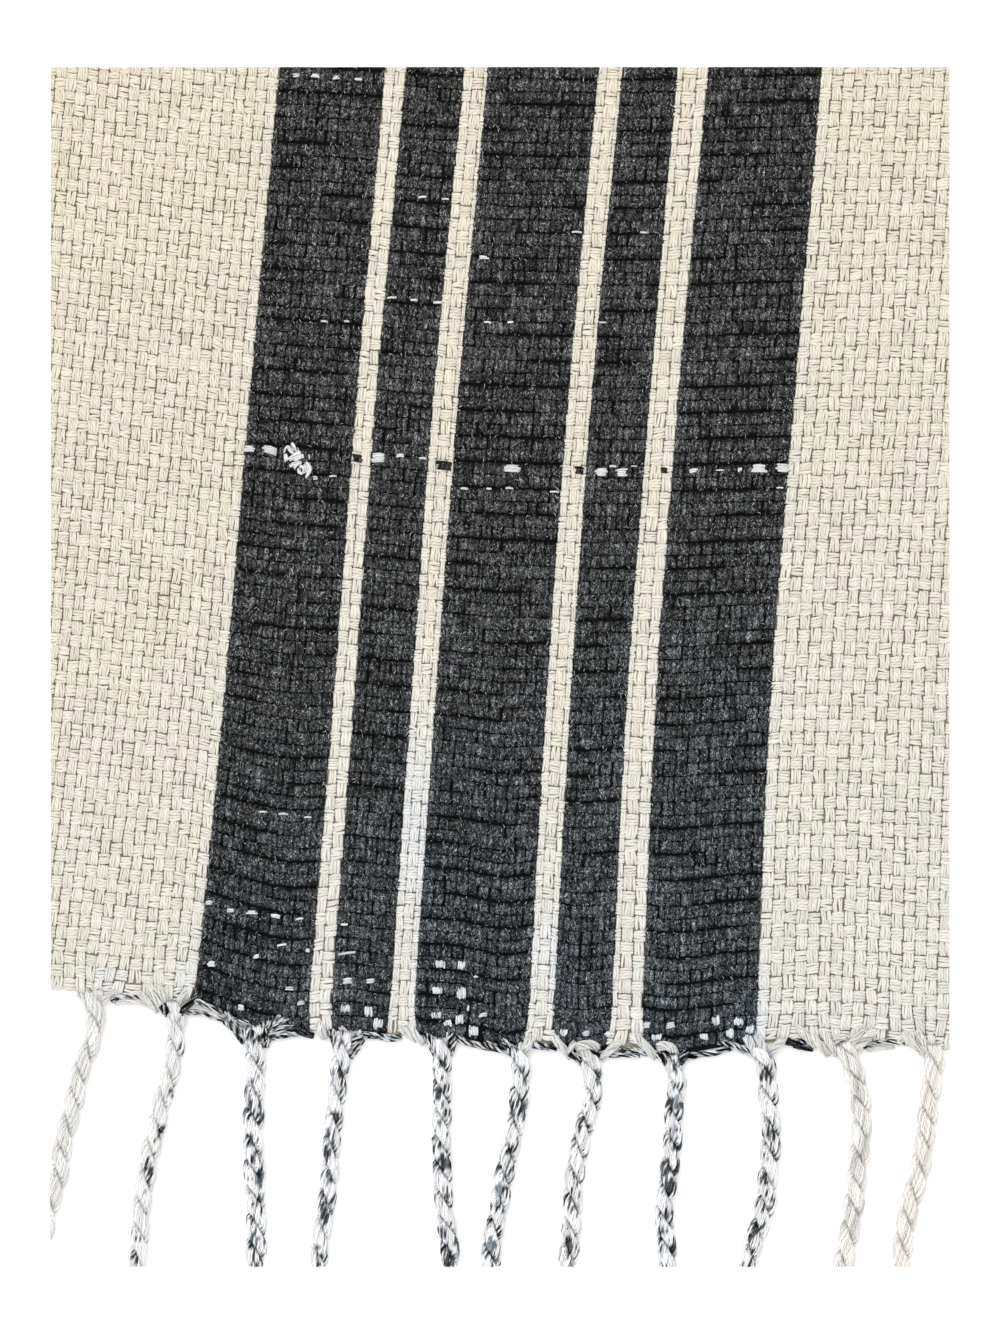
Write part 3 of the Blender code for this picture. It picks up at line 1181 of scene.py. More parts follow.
        # The cores carry painted shade, so the gaps between the strands read dark; in mixed cords they are
        # also dyed charcoal. Towards the cut the painted shade gives way, so the cut ends stay light.
        steady = np.ones_like(distance)
        inside = smooth_step((distance[-1] - self.overrun - distance - self.cut_light) / self.cut_light)
        dye = (Dye.CHARCOAL.value if mixed else Dye.CREAM.value) * inside
        shade = self.core_painted_shade * inside - (1.0 - inside)
        for place in self.core_places:
            core = self.core_radius * path.size
            route = path.route(self.ply_offset * steady, place * steady)
            made.add(route, core, core, dye[None], cord.bleach, shade[None])


@dataclass(frozen=True)
class Bundle:
    """A few strands twisted together along a line of places in the picture's frame."""

    points: Places
    strands: int
    charcoal: int
    top: float

    def line(self, part: Array) -> Array:
        """The bundle's middle line, in millimetres.

        Args:
            part: how far along it, from 0 to 1.

        Returns:
            Points across and along.
        """
        numbers = tuple(float(number) for number in range(len(self.points)))
        ways = [Line(numbers, tuple(point[way] for point in self.points)) for way in (0, 1)]
        return np.stack(in_picture(*(way.at(part * numbers[-1]) for way in ways)), axis=1)


def bundles(*rows: Numbers) -> tuple[Bundle, ...]:
    """Bundles from rows: their strands, the charcoal ones of them, their top and their places."""
    return tuple(Bundle(tuple(zip(row[3::2], row[4::2])), *row[:3]) for row in rows)


EDGE_BUNDLES = bundles(
    (5, 0, 3.0, 78, 993, 86, 1001, 90, 1012, 92, 1022), (4, 0, 3.4, 92, 984, 97, 995, 101, 1009),
    (4, 0, 3.0, 119, 987, 110, 993, 102, 1002, 99, 1014),
    (4, 1, 2.3, 110, 1001, 120, 996, 132, 996, 146, 1001),
    (3, 0, 2.2, 114, 1003, 126, 1001, 138, 1002, 152, 1005), (5, 0, 2.6, 136, 990, 147, 1000, 158, 1012),
    (5, 0, 2.9, 146, 989, 156, 999, 165, 1013), (5, 0, 3.0, 154, 985, 162, 994, 168, 1005),
    (6, 6, 3.5, 159, 1002, 165, 1009, 171, 1018), (5, 5, 3.8, 199, 994, 188, 1005, 177, 1016, 169, 1021),
    (4, 0, 3.4, 188, 988, 181, 997, 175, 1008), (6, 0, 4.0, 167, 1009, 173, 1017, 178, 1028),
    (4, 1, 2.8, 187, 1002, 197, 1001, 208, 1006, 223, 1013),
    (4, 1, 2.7, 185, 1012, 197, 1012, 212, 1016, 229, 1020), (3, 1, 2.8, 224, 1011, 230, 1016, 232, 1024),
    (6, 5, 2.7, 224, 1019, 234, 1028, 245, 1043), (3, 1, 2.7, 231, 1018, 240, 1020, 252, 1024),
    (5, 3, 2.9, 230, 1020, 239, 1029, 248, 1042), (5, 1, 3.4, 240, 1026, 246, 1036, 250, 1050),
    (5, 1, 3.7, 247, 1024, 254, 1036, 258, 1054), (6, 5, 3.3, 259, 1020, 264, 1034, 266, 1048),
    (4, 4, 3.0, 254, 1022, 259, 1034, 262, 1046), (5, 3, 2.6, 296, 1022, 285, 1027, 274, 1034, 264, 1043),
    (4, 2, 2.4, 290, 1016, 281, 1021, 272, 1029, 266, 1038), (2, 1, 2.4, 280, 1014, 275, 1021, 273, 1028),
    (3, 2, 2.4, 270, 1018, 267, 1026, 263, 1034), (4, 2, 2.3, 304, 1032, 292, 1034, 278, 1036, 266, 1040),
    (5, 5, 2.3, 292, 1028, 302, 1032, 314, 1036), (6, 0, 2.8, 318, 1020, 320, 1029, 325, 1039),
    (6, 4, 3.2, 329, 1028, 334, 1038, 338, 1054), (4, 0, 3.3, 339, 1025, 346, 1033, 353, 1042),
    (6, 2, 3.3, 363, 1031, 356, 1038, 346, 1049), (5, 2, 2.9, 362, 1038, 357, 1047, 349, 1058),
    (5, 3, 2.3, 358, 1036, 374, 1035, 388, 1038, 402, 1037), (5, 0, 2.7, 399, 1026, 407, 1033, 417, 1041),
    (5, 0, 2.9, 410, 1023, 415, 1034, 424, 1044), (8, 1, 3.5, 424, 1034, 433, 1045, 444, 1062),
    (4, 4, 3.0, 426, 1032, 430, 1044, 436, 1056), (6, 3, 2.9, 450, 1030, 449, 1041, 446, 1054),
    (4, 2, 2.5, 456, 1036, 453, 1044, 450, 1056), (4, 4, 4.0, 437, 1055, 443, 1061, 448, 1068),
    (5, 3, 2.3, 454, 1036, 464, 1041, 478, 1045, 492, 1048),
    (6, 4, 2.4, 482, 1043, 494, 1047, 506, 1050, 517, 1055), (4, 2, 2.5, 498, 1039, 507, 1042, 519, 1047),
    (7, 0, 3.2, 528, 1036, 527, 1045, 523, 1056), (4, 0, 3.0, 521, 1041, 520, 1048, 519, 1057),
    (7, 1, 3.9, 506, 1045, 515, 1055, 524, 1071), (5, 4, 2.3, 528, 1044, 542, 1046, 557, 1048),
    (6, 0, 2.7, 551, 1034, 560, 1045, 571, 1058), (4, 0, 2.9, 568, 1056, 571, 1046, 576, 1040),
    (7, 0, 3.3, 574, 1049, 581, 1045, 590, 1044, 600, 1049), (4, 4, 2.9, 585, 1052, 593, 1053, 601, 1055),
    (5, 4, 2.9, 566, 1051, 574, 1056, 583, 1064), (7, 0, 4.0, 581, 1047, 590, 1059, 599, 1076),
    (6, 0, 3.0, 622, 1039, 611, 1048, 600, 1060), (4, 2, 2.4, 608, 1053, 622, 1050, 634, 1050, 648, 1054),
    (3, 1, 2.2, 606, 1056, 622, 1055, 640, 1056), (7, 0, 2.7, 630, 1032, 642, 1043, 657, 1058),
    (7, 0, 3.4, 655, 1048, 663, 1045, 671, 1048, 677, 1060), (6, 5, 3.2, 656, 1052, 664, 1059, 670, 1070),
    (6, 6, 3.0, 664, 1050, 674, 1057, 684, 1063), (5, 5, 3.2, 687, 1050, 681, 1058, 677, 1070),
    (5, 0, 4.1, 666, 1059, 671, 1072, 674, 1088), (5, 3, 2.3, 684, 1058, 698, 1054, 714, 1052, 732, 1047),
    (5, 2, 2.6, 716, 1041, 730, 1044, 744, 1050, 758, 1057), (7, 0, 3.3, 744, 1034, 751, 1045, 760, 1062),
    (6, 0, 3.7, 754, 1032, 760, 1043, 765, 1060), (6, 0, 3.2, 786, 1036, 776, 1045, 765, 1058),
    (6, 6, 2.7, 784, 1041, 794, 1042, 806, 1044), (4, 4, 2.5, 792, 1045, 802, 1047, 813, 1049),
    (6, 0, 2.8, 794, 1024, 804, 1035, 816, 1047), (6, 0, 3.0, 806, 1030, 817, 1042, 829, 1056),
    (5, 0, 3.3, 819, 1028, 828, 1041, 837, 1056), (5, 0, 3.1, 830, 1046, 836, 1039, 844, 1037, 851, 1043),
    (7, 0, 3.2, 878, 1027, 863, 1040, 849, 1056), (5, 0, 3.4, 864, 1026, 855, 1037, 845, 1049),
    (4, 1, 2.4, 862, 1048, 874, 1043, 890, 1041, 908, 1043), (3, 0, 2.2, 866, 1050, 880, 1047, 894, 1047),
    (6, 0, 2.8, 899, 1032, 911, 1042, 926, 1055), (5, 0, 3.1, 914, 1029, 922, 1040, 930, 1054),
)


DARN = bundles(
    (3, 1, 2.6, 291, 443, 294, 448, 298, 453), (1, 0, 2.6, 289, 446, 292, 450, 296, 453),
    (2, 0, 2.9, 284, 454, 285, 449, 288, 447, 290, 451, 294, 454, 300, 453),
    (3, 0, 3.0, 288, 461, 293, 457, 301, 452), (3, 0, 2.9, 292, 461, 297, 458, 304, 456),
    (3, 0, 2.6, 285, 454, 286, 458, 286, 462), (2, 1, 2.6, 287, 459, 289, 463, 293, 466),
    (3, 0, 2.9, 289, 466, 294, 464, 300, 460), (2, 0, 2.8, 294, 469, 296, 465, 302, 462),
    (2, 0, 2.9, 303, 461, 308, 464, 310, 469, 308, 474, 305, 479), (4, 0, 3.0, 303, 466, 306, 468, 308, 473),
    (2, 0, 2.7, 299, 466, 303, 468, 304, 474), (3, 1, 2.6, 299, 468, 299, 472, 303, 473),
    (1, 0, 2.5, 297, 448, 298, 451, 297, 454), (2, 2, 2.8, 300, 459, 304, 460, 307, 463),
    (1, 1, 2.8, 290, 462, 293, 461, 296, 461),
)


@dataclass
class Bundles:
    """Twisted bundles laid along listed places: along the edge, into the cords' roots, and in the darn."""

    bundles: tuple[Bundle, ...]
    cord_share: float
    mottle: float = 0.0
    fineness: float = 1.8
    radius: float = 0.24
    radius_spread: float = 0.12
    twist: float = 0.6
    wander: float = 0.45
    squash: float = 0.75
    low: float = 1.15
    steepness: float = 1.2
    core_part: float = 0.9
    core_from: int = 4
    core_painted_shade: float = -9.0
    shade: Pair = (-1.2, 2.2)
    dark_bleach: float = 0.6
    mixed_bleach: float = 0.3
    bleach_spread: float = 0.1
    least_ring: float = 0.8
    packing: float = 0.95
    blunt_end: float = 0.02
    end_height: float = 0.4
    wander_pace: Pair = (2.0, 7.0)
    mottle_pace: Pair = (0.9, 2.2)
    mottle_gain: float = 2.0
    mottle_from: float = 0.4
    phases: Pair = (0.0, 6.28)
    stations: int = 16
    sides: int = 4

    def strands(self, seed: int) -> Strands:
        """Every strand.

        Args:
            seed: what the small differences are drawn from.

        Returns:
            The strands.
        """
        made = Strands(self.sides, self.stations)
        draw = np.random.default_rng(seed)
        for bundle in self.bundles:
            self._add(made, draw, bundle)
        return made

    def _bleach(self, place: Array) -> float:
        """How washed out a bundle is: partly as the cloth there, partly as the nearest cord.

        Args:
            place: its middle.

        Returns:
            0 as dyed to 1 washed out.
        """
        nearest = min(CORDS, key=lambda cord: abs(cord.head[0][0] - place[0]))
        cloth = float(washed(place[0], place[1]))
        return self.cord_share * nearest.bleach + (1.0 - self.cord_share) * cloth

    def _add(self, made: Strands, draw: Draw, bundle: Bundle) -> None:
        """Add the strands of one bundle, round a core in painted shade where there are enough of them.

        Args:
            made: where they go.
            draw: what the small differences are drawn from.
            bundle: the bundle.
        """
        run = np.linspace(0.0, 1.0, self.stations)
        line = bundle.line(run)
        heading = np.gradient(line, axis=0)
        heading = heading / np.linalg.norm(heading, axis=1, keepdims=True)
        side = quarter_left(heading)
        length = float(np.sum(np.linalg.norm(np.diff(line, axis=0), axis=1)))
        count = round(bundle.strands * self.fineness)
        ring = self.radius * max(count / math.pi, self.least_ring) * self.packing
        order = draw.permutation(count)
        mixed = 0 < bundle.charcoal < bundle.strands
        local = self._bleach(line[len(line) // 2]) + (self.mixed_bleach if mixed else 0.0)
        phase = draw.uniform(0.0, 2.0 * math.pi)
        arch = np.sin(math.pi * np.clip(run, self.blunt_end, 1.0 - self.blunt_end)) ** self.steepness
        middle = self.low + (bundle.top - ring * self.squash - self.low) * arch
        mottle = self.mottle if mixed else 0.0
        # Bigger bundles get a core in painted shade, so the gaps between their strands read dark.
        if count >= self.core_from:
            dye = Dye.CHARCOAL.value if bundle.charcoal else Dye.CREAM.value
            core = ring * self.core_part
            made.add(raised(line, middle), core, core * self.squash, dye, local, self.core_painted_shade)
        for number in range(count):
            turn = self.twist * length * run + phase + 2.0 * math.pi * number / count
            pace = draw.uniform(*self.wander_pace)
            turn = turn + self.wander * np.sin(run * pace + draw.uniform(*self.phases))
            beside = ring * np.cos(turn)
            flatness = self.end_height + (1.0 - self.end_height) * arch
            height = middle + ring * self.squash * np.sin(turn) * flatness
            route = raised(line + side * beside[:, None], height)
            radius = self.radius * draw.normal(1.0, self.radius_spread)
            is_dark = order[number] < bundle.charcoal * self.fineness
            pace = draw.uniform(*self.mottle_pace)
            wave = np.sin(run * length * pace + draw.uniform(*self.phases))
            flip = mottle * smooth_step(wave * self.mottle_gain - self.mottle_from)
            dye = Dye.CHARCOAL.value - flip if is_dark else Dye.CREAM.value + flip
            bleach = local * (self.dark_bleach if is_dark else 1.0) + draw.normal(0.0, self.bleach_spread)
            dye = np.broadcast_to(dye, run.shape)[None]
            made.add(route, radius, radius, dye, kept(bleach), draw.normal(*self.shade))


@dataclass(frozen=True)
class Pull:
    """How the last rows are drawn towards the nearest cord."""

    amount: float = 0.42
    reach_across: float = 7.5
    reach_along: float = 6.0
    dip: float = 1.6
    dip_across: float = 4.0
    dip_along: float = 4.5

    def drawn(self, weave: WeaveMap, across: Array, along: Array) -> tuple[Array, Array]:
        """Draw places towards the nearest cord.

        Args:
            weave: the map, for its edge.
            across: distances across the piece.
            along: distances along the piece.

        Returns:
            The drawn distances across and along.
        """
        roots = np.array([cord.head[0][0] for cord in CORDS])
        nearest = roots[np.argmin(np.abs(across[..., None] - roots), axis=-1)]
        away = across - nearest
        above = np.maximum(along - weave.edge.at(across), 0.0)
        gathered = np.exp(-(away / self.reach_across) ** 2 - (above / self.reach_along) ** 2)
        lowered = np.exp(-(away / self.dip_across) ** 2 - (above / self.dip_along) ** 2)
        return across - away * self.amount * gathered, along - self.dip * lowered


@dataclass(frozen=True)
class Fleck:
    """A float of the other dye on the face: its middle, length and strands, and whether it runs down."""

    across: float
    along: float
    length: float
    strands: int
    down: bool = False
    dye: Dye = Dye.CREAM


FLECKS = tuple(Fleck(*row) for row in (
    (-62.6, 54.3, 2.9, 3), (-57.4, 53.9, 3.4, 4), (-30.4, 52.1, 3.2, 5), (-24.9, 52.6, 2.3, 2),
    (-19.1, 51.9, 2.1, 1), (3.1, 49.4, 4.1, 4), (25.3, 48.5, 3.2, 4), (28.1, 49.9, 2.3, 1),
    (30.5, 48.5, 2.6, 4), (33.4, 50.1, 1.8, 1), (48.3, 48.8, 2.2, 2), (54.9, 48.9, 1.8, 1),
    (59.9, 49.1, 1.0, 2, True), (64.7, 49.4, 3.7, 4), (70.7, 49.6, 3.3, 4),
    (-35.6, 52.0, 2.2, 4, False, Dye.CHARCOAL), (-13.9, 50.1, 3.6, 5, False, Dye.CHARCOAL),
    (19.9, 48.9, 2.1, 4, False, Dye.CHARCOAL), (41.1, 48.9, 1.6, 3, False, Dye.CHARCOAL),
    (-47.6, 52.4, 1.3, 1, True), (-46.1, 47.1, 1.1, 2), (-41.6, 47.4, 2.1, 1), (-8.9, 44.4, 2.0, 1),
    (-2.7, 44.4, 1.4, 1), (2.4, 44.4, 2.2, 1), (13.6, 43.6, 2.5, 1), (69.9, 44.6, 1.8, 1),
    (-50.9, 147.6, 1.8, 2), (-46.1, 147.4, 2.0, 2), (-40.9, 147.1, 1.8, 2), (-35.1, 146.6, 1.8, 1),
    (-19.4, 117.1, 2.4, 1), (-13.6, 116.6, 2.2, 1), (19.1, 108.4, 2.4, 1), (35.9, 108.4, 2.4, 1),
    (-4.1, 102.1, 2.0, 2), (-26.9, 92.1, 2.4, 1), (-21.4, 91.4, 2.4, 1), (-15.6, 90.9, 2.0, 1),
    (-43.9, 86.1, 2.0, 1), (-38.4, 86.1, 2.0, 1), (-2.9, 85.9, 2.0, 1), (2.6, 85.9, 2.0, 1),
    (25.6, 85.9, 2.0, 1), (-59.1, -36.4, 2.2, 1), (-53.9, -36.9, 2.2, 1), (-48.1, -37.6, 2.2, 1),
    (-72.6, -59.1, 1.6, 2), (-67.3, -60.9, 2.3, 2), (-61.9, -61.4, 2.4, 2), (-56.1, -62.4, 2.1, 2),
    (-50.1, -63.1, 2.1, 1), (-54.4, -69.6, 2.3, 1), (-48.1, -70.9, 0.9, 2), (-60.9, -72.4, 1.2, 2),
    (-72.1, -74.4, 1.7, 3), (-38.9, -64.4, 2.0, 1), (-38.1, -71.6, 3.6, 1), (-38.1, -78.6, 2.3, 3),
    (-32.4, -78.6, 2.0, 2), (-52.6, -80.4, 2.3, 2), (-49.6, -84.1, 1.8, 2), (-64.6, -85.1, 1.6, 3),
    (-38.6, -85.4, 1.7, 5, True), (-32.9, -86.1, 2.4, 4, True), (-30.4, -89.1, 2.4, 5, True),
    (-14.9, -74.4, 1.8, 5, True), (-9.6, -74.6, 1.8, 4, True), (-15.6, -80.9, 1.7, 5, True),
    (-9.6, -81.6, 2.6, 5, True), (-5.9, -77.6, 1.3, 1), (-15.9, -87.1, 1.2, 5, True),
    (-13.1, -89.1, 1.4, 4, True), (-10.1, -88.1, 2.6, 4, True), (-4.1, -87.1, 2.1, 2),
    (-6.6, -91.1, 2.3, 5, True), (-8.1, -85.1, 1.4, 1, True), (15.9, -91.4, 1.4, 4, True),
    (21.4, -91.6, 1.6, 3), (27.1, -91.9, 1.7, 3), (36.6, -89.6, 1.7, 3), (42.6, -89.6, 1.9, 3),
    (39.1, -92.6, 1.6, 5, True), (53.9, -88.4, 2.1, 4, True), (59.6, -88.6, 1.8, 5, True),
    (50.9, -92.4, 1.6, 4, True), (57.4, -91.6, 2.2, 4, True), (62.4, -90.6, 1.9, 4, True),
))


@dataclass
class StrayFloats:
    """Floats of the other dye, laid over the face where the weaver's picks missed."""

    flecks: tuple[Fleck, ...] = FLECKS
    spacing: float = 0.48
    wide: float = 0.27
    tall: float = 0.24
    top: float = 1.98
    low: float = 1.45
    dark_lift: float = 0.12
    greying: float = 0.10
    extra_bleach: float = 0.6
    lean_spread: float = 0.10
    most_arch: float = 0.22
    length_spread: float = 0.14
    shift_spread: float = 0.10
    pinch: float = 0.12
    skew_spread: float = 0.05
    rank_spread: float = 0.04
    top_spread: float = 0.06
    full_spread: float = 0.12
    tip_painted_shade: float = 0.10
    dark_shade: float = -1.0
    pale_shade: Pair = (0.8, 1.2)
    sides: int = 4
    places: Numbers = (-1.0, -0.84, 0.0, 0.84, 1.0)
    profile: Numbers = (0.0, 0.85, 1.0, 0.85, 0.0)
    fullness: Numbers = (0.7, 1.0, 1.0, 1.0, 0.7)

    def strands(self, seed: int) -> Strands:
        """Every stray float.

        Args:
            seed: what the small differences are drawn from.

        Returns:
            The strands.
        """
        made = Strands(self.sides, len(self.profile))
        draw = np.random.default_rng(seed)
        run = np.array(self.places)
        middle = len(run) // 2
        for fleck in self.flecks:
            dark = fleck.dye is Dye.CHARCOAL
            lean = draw.normal(0.0, self.lean_spread)
            arch = draw.uniform(0.0, self.most_arch)
            for number in range(fleck.strands):
                rank = (number - (fleck.strands - 1) / 2.0) * self.spacing
                forward = run * fleck.length / 2.0 * draw.normal(1.0, self.length_spread)
                forward = forward + draw.normal(0.0, self.shift_spread)
                beside = rank * (1.0 - self.pinch * run**2) + forward * lean
                beside = beside + draw.normal(0.0, self.skew_spread) * run
                beside = beside + (0.0 if fleck.down else arch) * (1.0 - run**2)
                beside = beside + draw.normal(0.0, self.rank_spread)
                across = fleck.across + (beside if fleck.down else forward)
                along = fleck.along + (forward if fleck.down else beside)
                top = self.top + (self.dark_lift if dark else 0.0) + draw.normal(0.0, self.top_spread)
                height = self.low + (top - self.low) * np.array(self.profile)
                full = np.array(self.fullness) * draw.normal(1.0, self.full_spread)
                bleach = 0.0 if dark else kept(washed(across[middle], along[middle]) + self.extra_bleach)
                # Pale flecks are greyed at random, and greyed more towards their tips as painted shade where
                # they dip into the charcoal.
                grey = 0.0 if dark else abs(draw.normal(0.0, self.greying)) + self.tip_painted_shade * run**2
                dye = fleck.dye.value + grey
                shade = self.dark_shade if dark else draw.normal(*self.pale_shade)
                route = np.stack([across, along, height], axis=1)[None]
                made.add(route, self.wide * full, self.tall * full, dye, bleach, shade)
        return made


@dataclass
class WovenFace:
    """The floats of the face: a basket weave in the cream, and creased ribs in the charcoal."""

    weave: WeaveMap
    pull: Pull
    full_strands: int = 4
    rib_strands: int = 2
    warp_fill: float = 0.90
    weft_fill: float = 0.93
    rib_fill: float = 0.92
    warp_reach: float = 0.64
    weft_reach: float = 0.60
    rib_reach: float = 0.56
    low: float = 1.1
    warp_top: float = 1.72
    weft_top: float = 1.66
    rib_top: float = 1.70
    half_tall: float = 0.28
    overlap: float = 1.24
    rib_overlap: float = 1.26
    warp_pinch: float = 0.15
    weft_pinch: float = 0.22
    rib_half: Pair = (0.5, 0.75)
    fade_shade: float = 1.15
    crease_depth: float = 0.14
    crease_painted_shade: float = 2.6
    crease_drop: float = 0.15
    crease_rows: tuple[Pair, ...] = ((2.399, 0.0), (4.13, 1.7))
    crease_swings: Pair = (6.0, 5.0)
    crease_paces: Pair = (0.3, 0.8)
    crease_second: float = 0.6
    crease_gain: float = 0.6
    crease_share: float = 0.55
    odd_crease: float = 0.22
    border_bleach: float = 0.12
    full_spread: float = 0.09
    place_spread: float = 0.014
    wobble_spread: float = 0.016
    skew_spread: float = 0.040
    bow_spread: float = 0.022
    block_skew_spread: float = 0.035
    block_bow_spread: float = 0.024
    weft_bow: float = 0.02
    reach_spread: float = 0.02
    lift_spreads: Pair = (0.05, 0.02)
    shade_spreads: Pair = (0.9, 0.4)
    end_painted_shade: float = 0.5
    rib_place_spread: float = 0.045
    rib_skew_spread: float = 0.05
    rib_row_spread: float = 0.025
    rib_lift_spread: float = 0.06
    rib_shade_spread: float = 0.5
    fade_left: float = 0.2
    sides: int = 4
    stations: Numbers = (-1.0, -0.76, 0.0, 0.76, 1.0)
    profile: Numbers = (0.0, 0.84, 1.0, 0.84, 0.0)
    fullness: Numbers = (0.5, 0.94, 1.0, 0.94, 0.5)

    def strands(self, first_column: int, last_column: int, seed: int) -> Strands:
        """The floats of some columns.

        Args:
            first_column: the first of them.
            last_column: the column after the last.
            seed: what the small differences are drawn from.

        Returns:
            The strands.
        """
        made = Strands(self.sides, len(self.stations))
        draw = np.random.default_rng(seed)
        every_row = np.arange(-self.weave.rows_above, self.weave.rows_below + 1)
        columns, rows = np.meshgrid(np.arange(first_column, last_column), every_row)
        columns = columns.ravel()
        rows = rows.ravel()
        rib = self.weave.dye_of(columns) == Dye.CHARCOAL.value
        warp = (columns + rows) % 2 == 1
        strands = np.full(len(columns), self.full_strands)
        for narrow in self.weave.narrow:
            strands[(columns == narrow.column) & warp] = narrow.strands
        for count in np.unique(strands[warp & ~rib]):
            chosen = warp & ~rib & (strands == count)
            self._add_floats(made, draw, columns[chosen], rows[chosen], int(count), True)
        self._add_floats(made, draw, columns[~warp & ~rib], rows[~warp & ~rib], self.full_strands, False)
        self._add_ribs(made, draw, columns[rib], rows[rib])
        return made

    def crease(self, columns: Array, rows: Array) -> Array:
        """How deep the crease above each block is, from 0 to 1.

        Args:
            columns: the blocks' columns.
            rows: the blocks' rows.

        Returns:
            The depths.
        """
        swings = [swing * np.sin(rows * pace + start)
                  for (pace, start), swing in zip(self.crease_rows, self.crease_swings)]
        first, second = (np.sin(columns * pace + swing) for pace, swing in zip(self.crease_paces, swings))
        swell = (first + self.crease_second * second) * self.crease_gain + self.crease_share
        return smooth_step(swell) * np.where(rows % 2 == 0, 1.0, self.odd_crease)

    @staticmethod
    def _ranks(count: int) -> Array:
        """Where a block's strands lie side by side, in parts of the block."""
        return ((np.arange(count) + 0.5) / count - 0.5)[None, :, None]

    def _middles(self, column: Array, row: Array) -> tuple[Array, Array]:
        """Where the middles of some floats lie, across and along."""
        middle = len(self.stations) // 2
        return self.weave.place(column[:, :, middle], row[:, :, middle])

    def _lay(self, made: Strands, draw: Draw, column: Array, row: Array, height: Array,
             wide: Array, shade: Array, dye: Array, extra_bleach: Array) -> None:
        """Lay floats given by columns and rows.

        Args:
            made: where they go.
            draw: what the small differences are drawn from.
            column: columns of their stations, (blocks, strands, stations).
            row: rows of their stations.
            height: heights of their stations.
            wide: half a strand's width, for each block.
            shade: shade of their stations.
            dye: each block's dye.
            extra_bleach: how much more washed out each block is than the cloth round it.
        """
        across, along = self.weave.place(column, row)
        across, along = self.pull.drawn(self.weave, across, along)
        blocks, count, stations = across.shape
        route = np.stack([across, along, height], axis=3).reshape(blocks * count, stations, 3)
        middle = stations // 2
        full = np.array(self.fullness)[None, :] * draw.normal(1.0, self.full_spread, (blocks * count, 1))
        bleach = washed(route[:, middle, 0], route[:, middle, 1]) + np.repeat(extra_bleach, count)
        made.add(route, np.repeat(wide, count)[:, None] * full, self.half_tall * full,
                 np.repeat(dye, count)[:, None], kept(bleach)[:, None],
                 shade.reshape(blocks * count, stations))

    def _add_floats(self, made: Strands, draw: Draw, columns: Array, rows: Array, count: int,
                    warp: bool) -> None:
        """Add the floats of many cream blocks, all warp or all weft, with painted shade towards their ends.

        Args:
            made: where they go.
            draw: what the small differences are drawn from.
            columns: the blocks' columns.
            rows: the blocks' rows.
            count: floats in a block.
            warp: whether they run down the cloth.
        """
        blocks = len(columns)
        fill = self.warp_fill if warp else self.weft_fill
        top = self.warp_top if warp else self.weft_top
        reach = self.warp_reach if warp else self.weft_reach
        pinch = self.warp_pinch if warp else self.weft_pinch
        run = np.array(self.stations)[None, None, :]
        each = (blocks, count, 1)
        whole = (blocks, 1, 1)
        bow = 0.0 if warp else self.weft_bow
        beside = self._ranks(count) * fill
        beside = beside * (1.0 - pinch * run**2)
        for mean, spread, size, form in (
            (0.0, self.place_spread, each, 1.0),
            (0.0, self.wobble_spread, (blocks, count, len(self.stations)), 1.0),
            (0.0, self.skew_spread, each, run),
            (0.0, self.bow_spread, each, 1.0 - run**2),
            (0.0, self.block_skew_spread, whole, run),
            (bow, self.block_bow_spread, whole, 1.0 - run**2),
        ):
            beside = beside + draw.normal(mean, spread, size) * form
        forward = run * (reach + draw.normal(0.0, self.reach_spread, each))
        column = columns[:, None, None] + 0.5 + (beside if warp else forward)
        row = rows[:, None, None] + (forward if warp else beside)
        column, row = np.broadcast_arrays(column, row)
        lift = draw.normal(0.0, self.lift_spreads[0], each) + draw.normal(0.0, self.lift_spreads[1], whole)
        height = self.low + (top + lift - self.low) * np.array(self.profile)[None, None, :]
        across, along = self._middles(column, row)
        breadth = np.ptp(across, axis=1) if warp else np.ptp(along, axis=1)
        wide = breadth / max(count - 1, 1) / 2.0 * self.overlap
        shade = draw.normal(0.0, self.shade_spreads[0], each)
        shade = shade + draw.normal(0.0, self.shade_spreads[1], whole)
        # Random tone, and painted shade towards the ends of the floats, where they dive under their
        # neighbours.
        shade = np.broadcast_to(shade - self.end_painted_shade * run**2, column.shape)
        beside_dark = np.maximum(self.weave.dye_of(columns - 1), self.weave.dye_of(columns + 1))
        self._lay(made, draw, column, row, np.broadcast_to(height, column.shape), wide, shade,
                  np.full(blocks, Dye.CREAM.value), beside_dark * self.border_bleach)

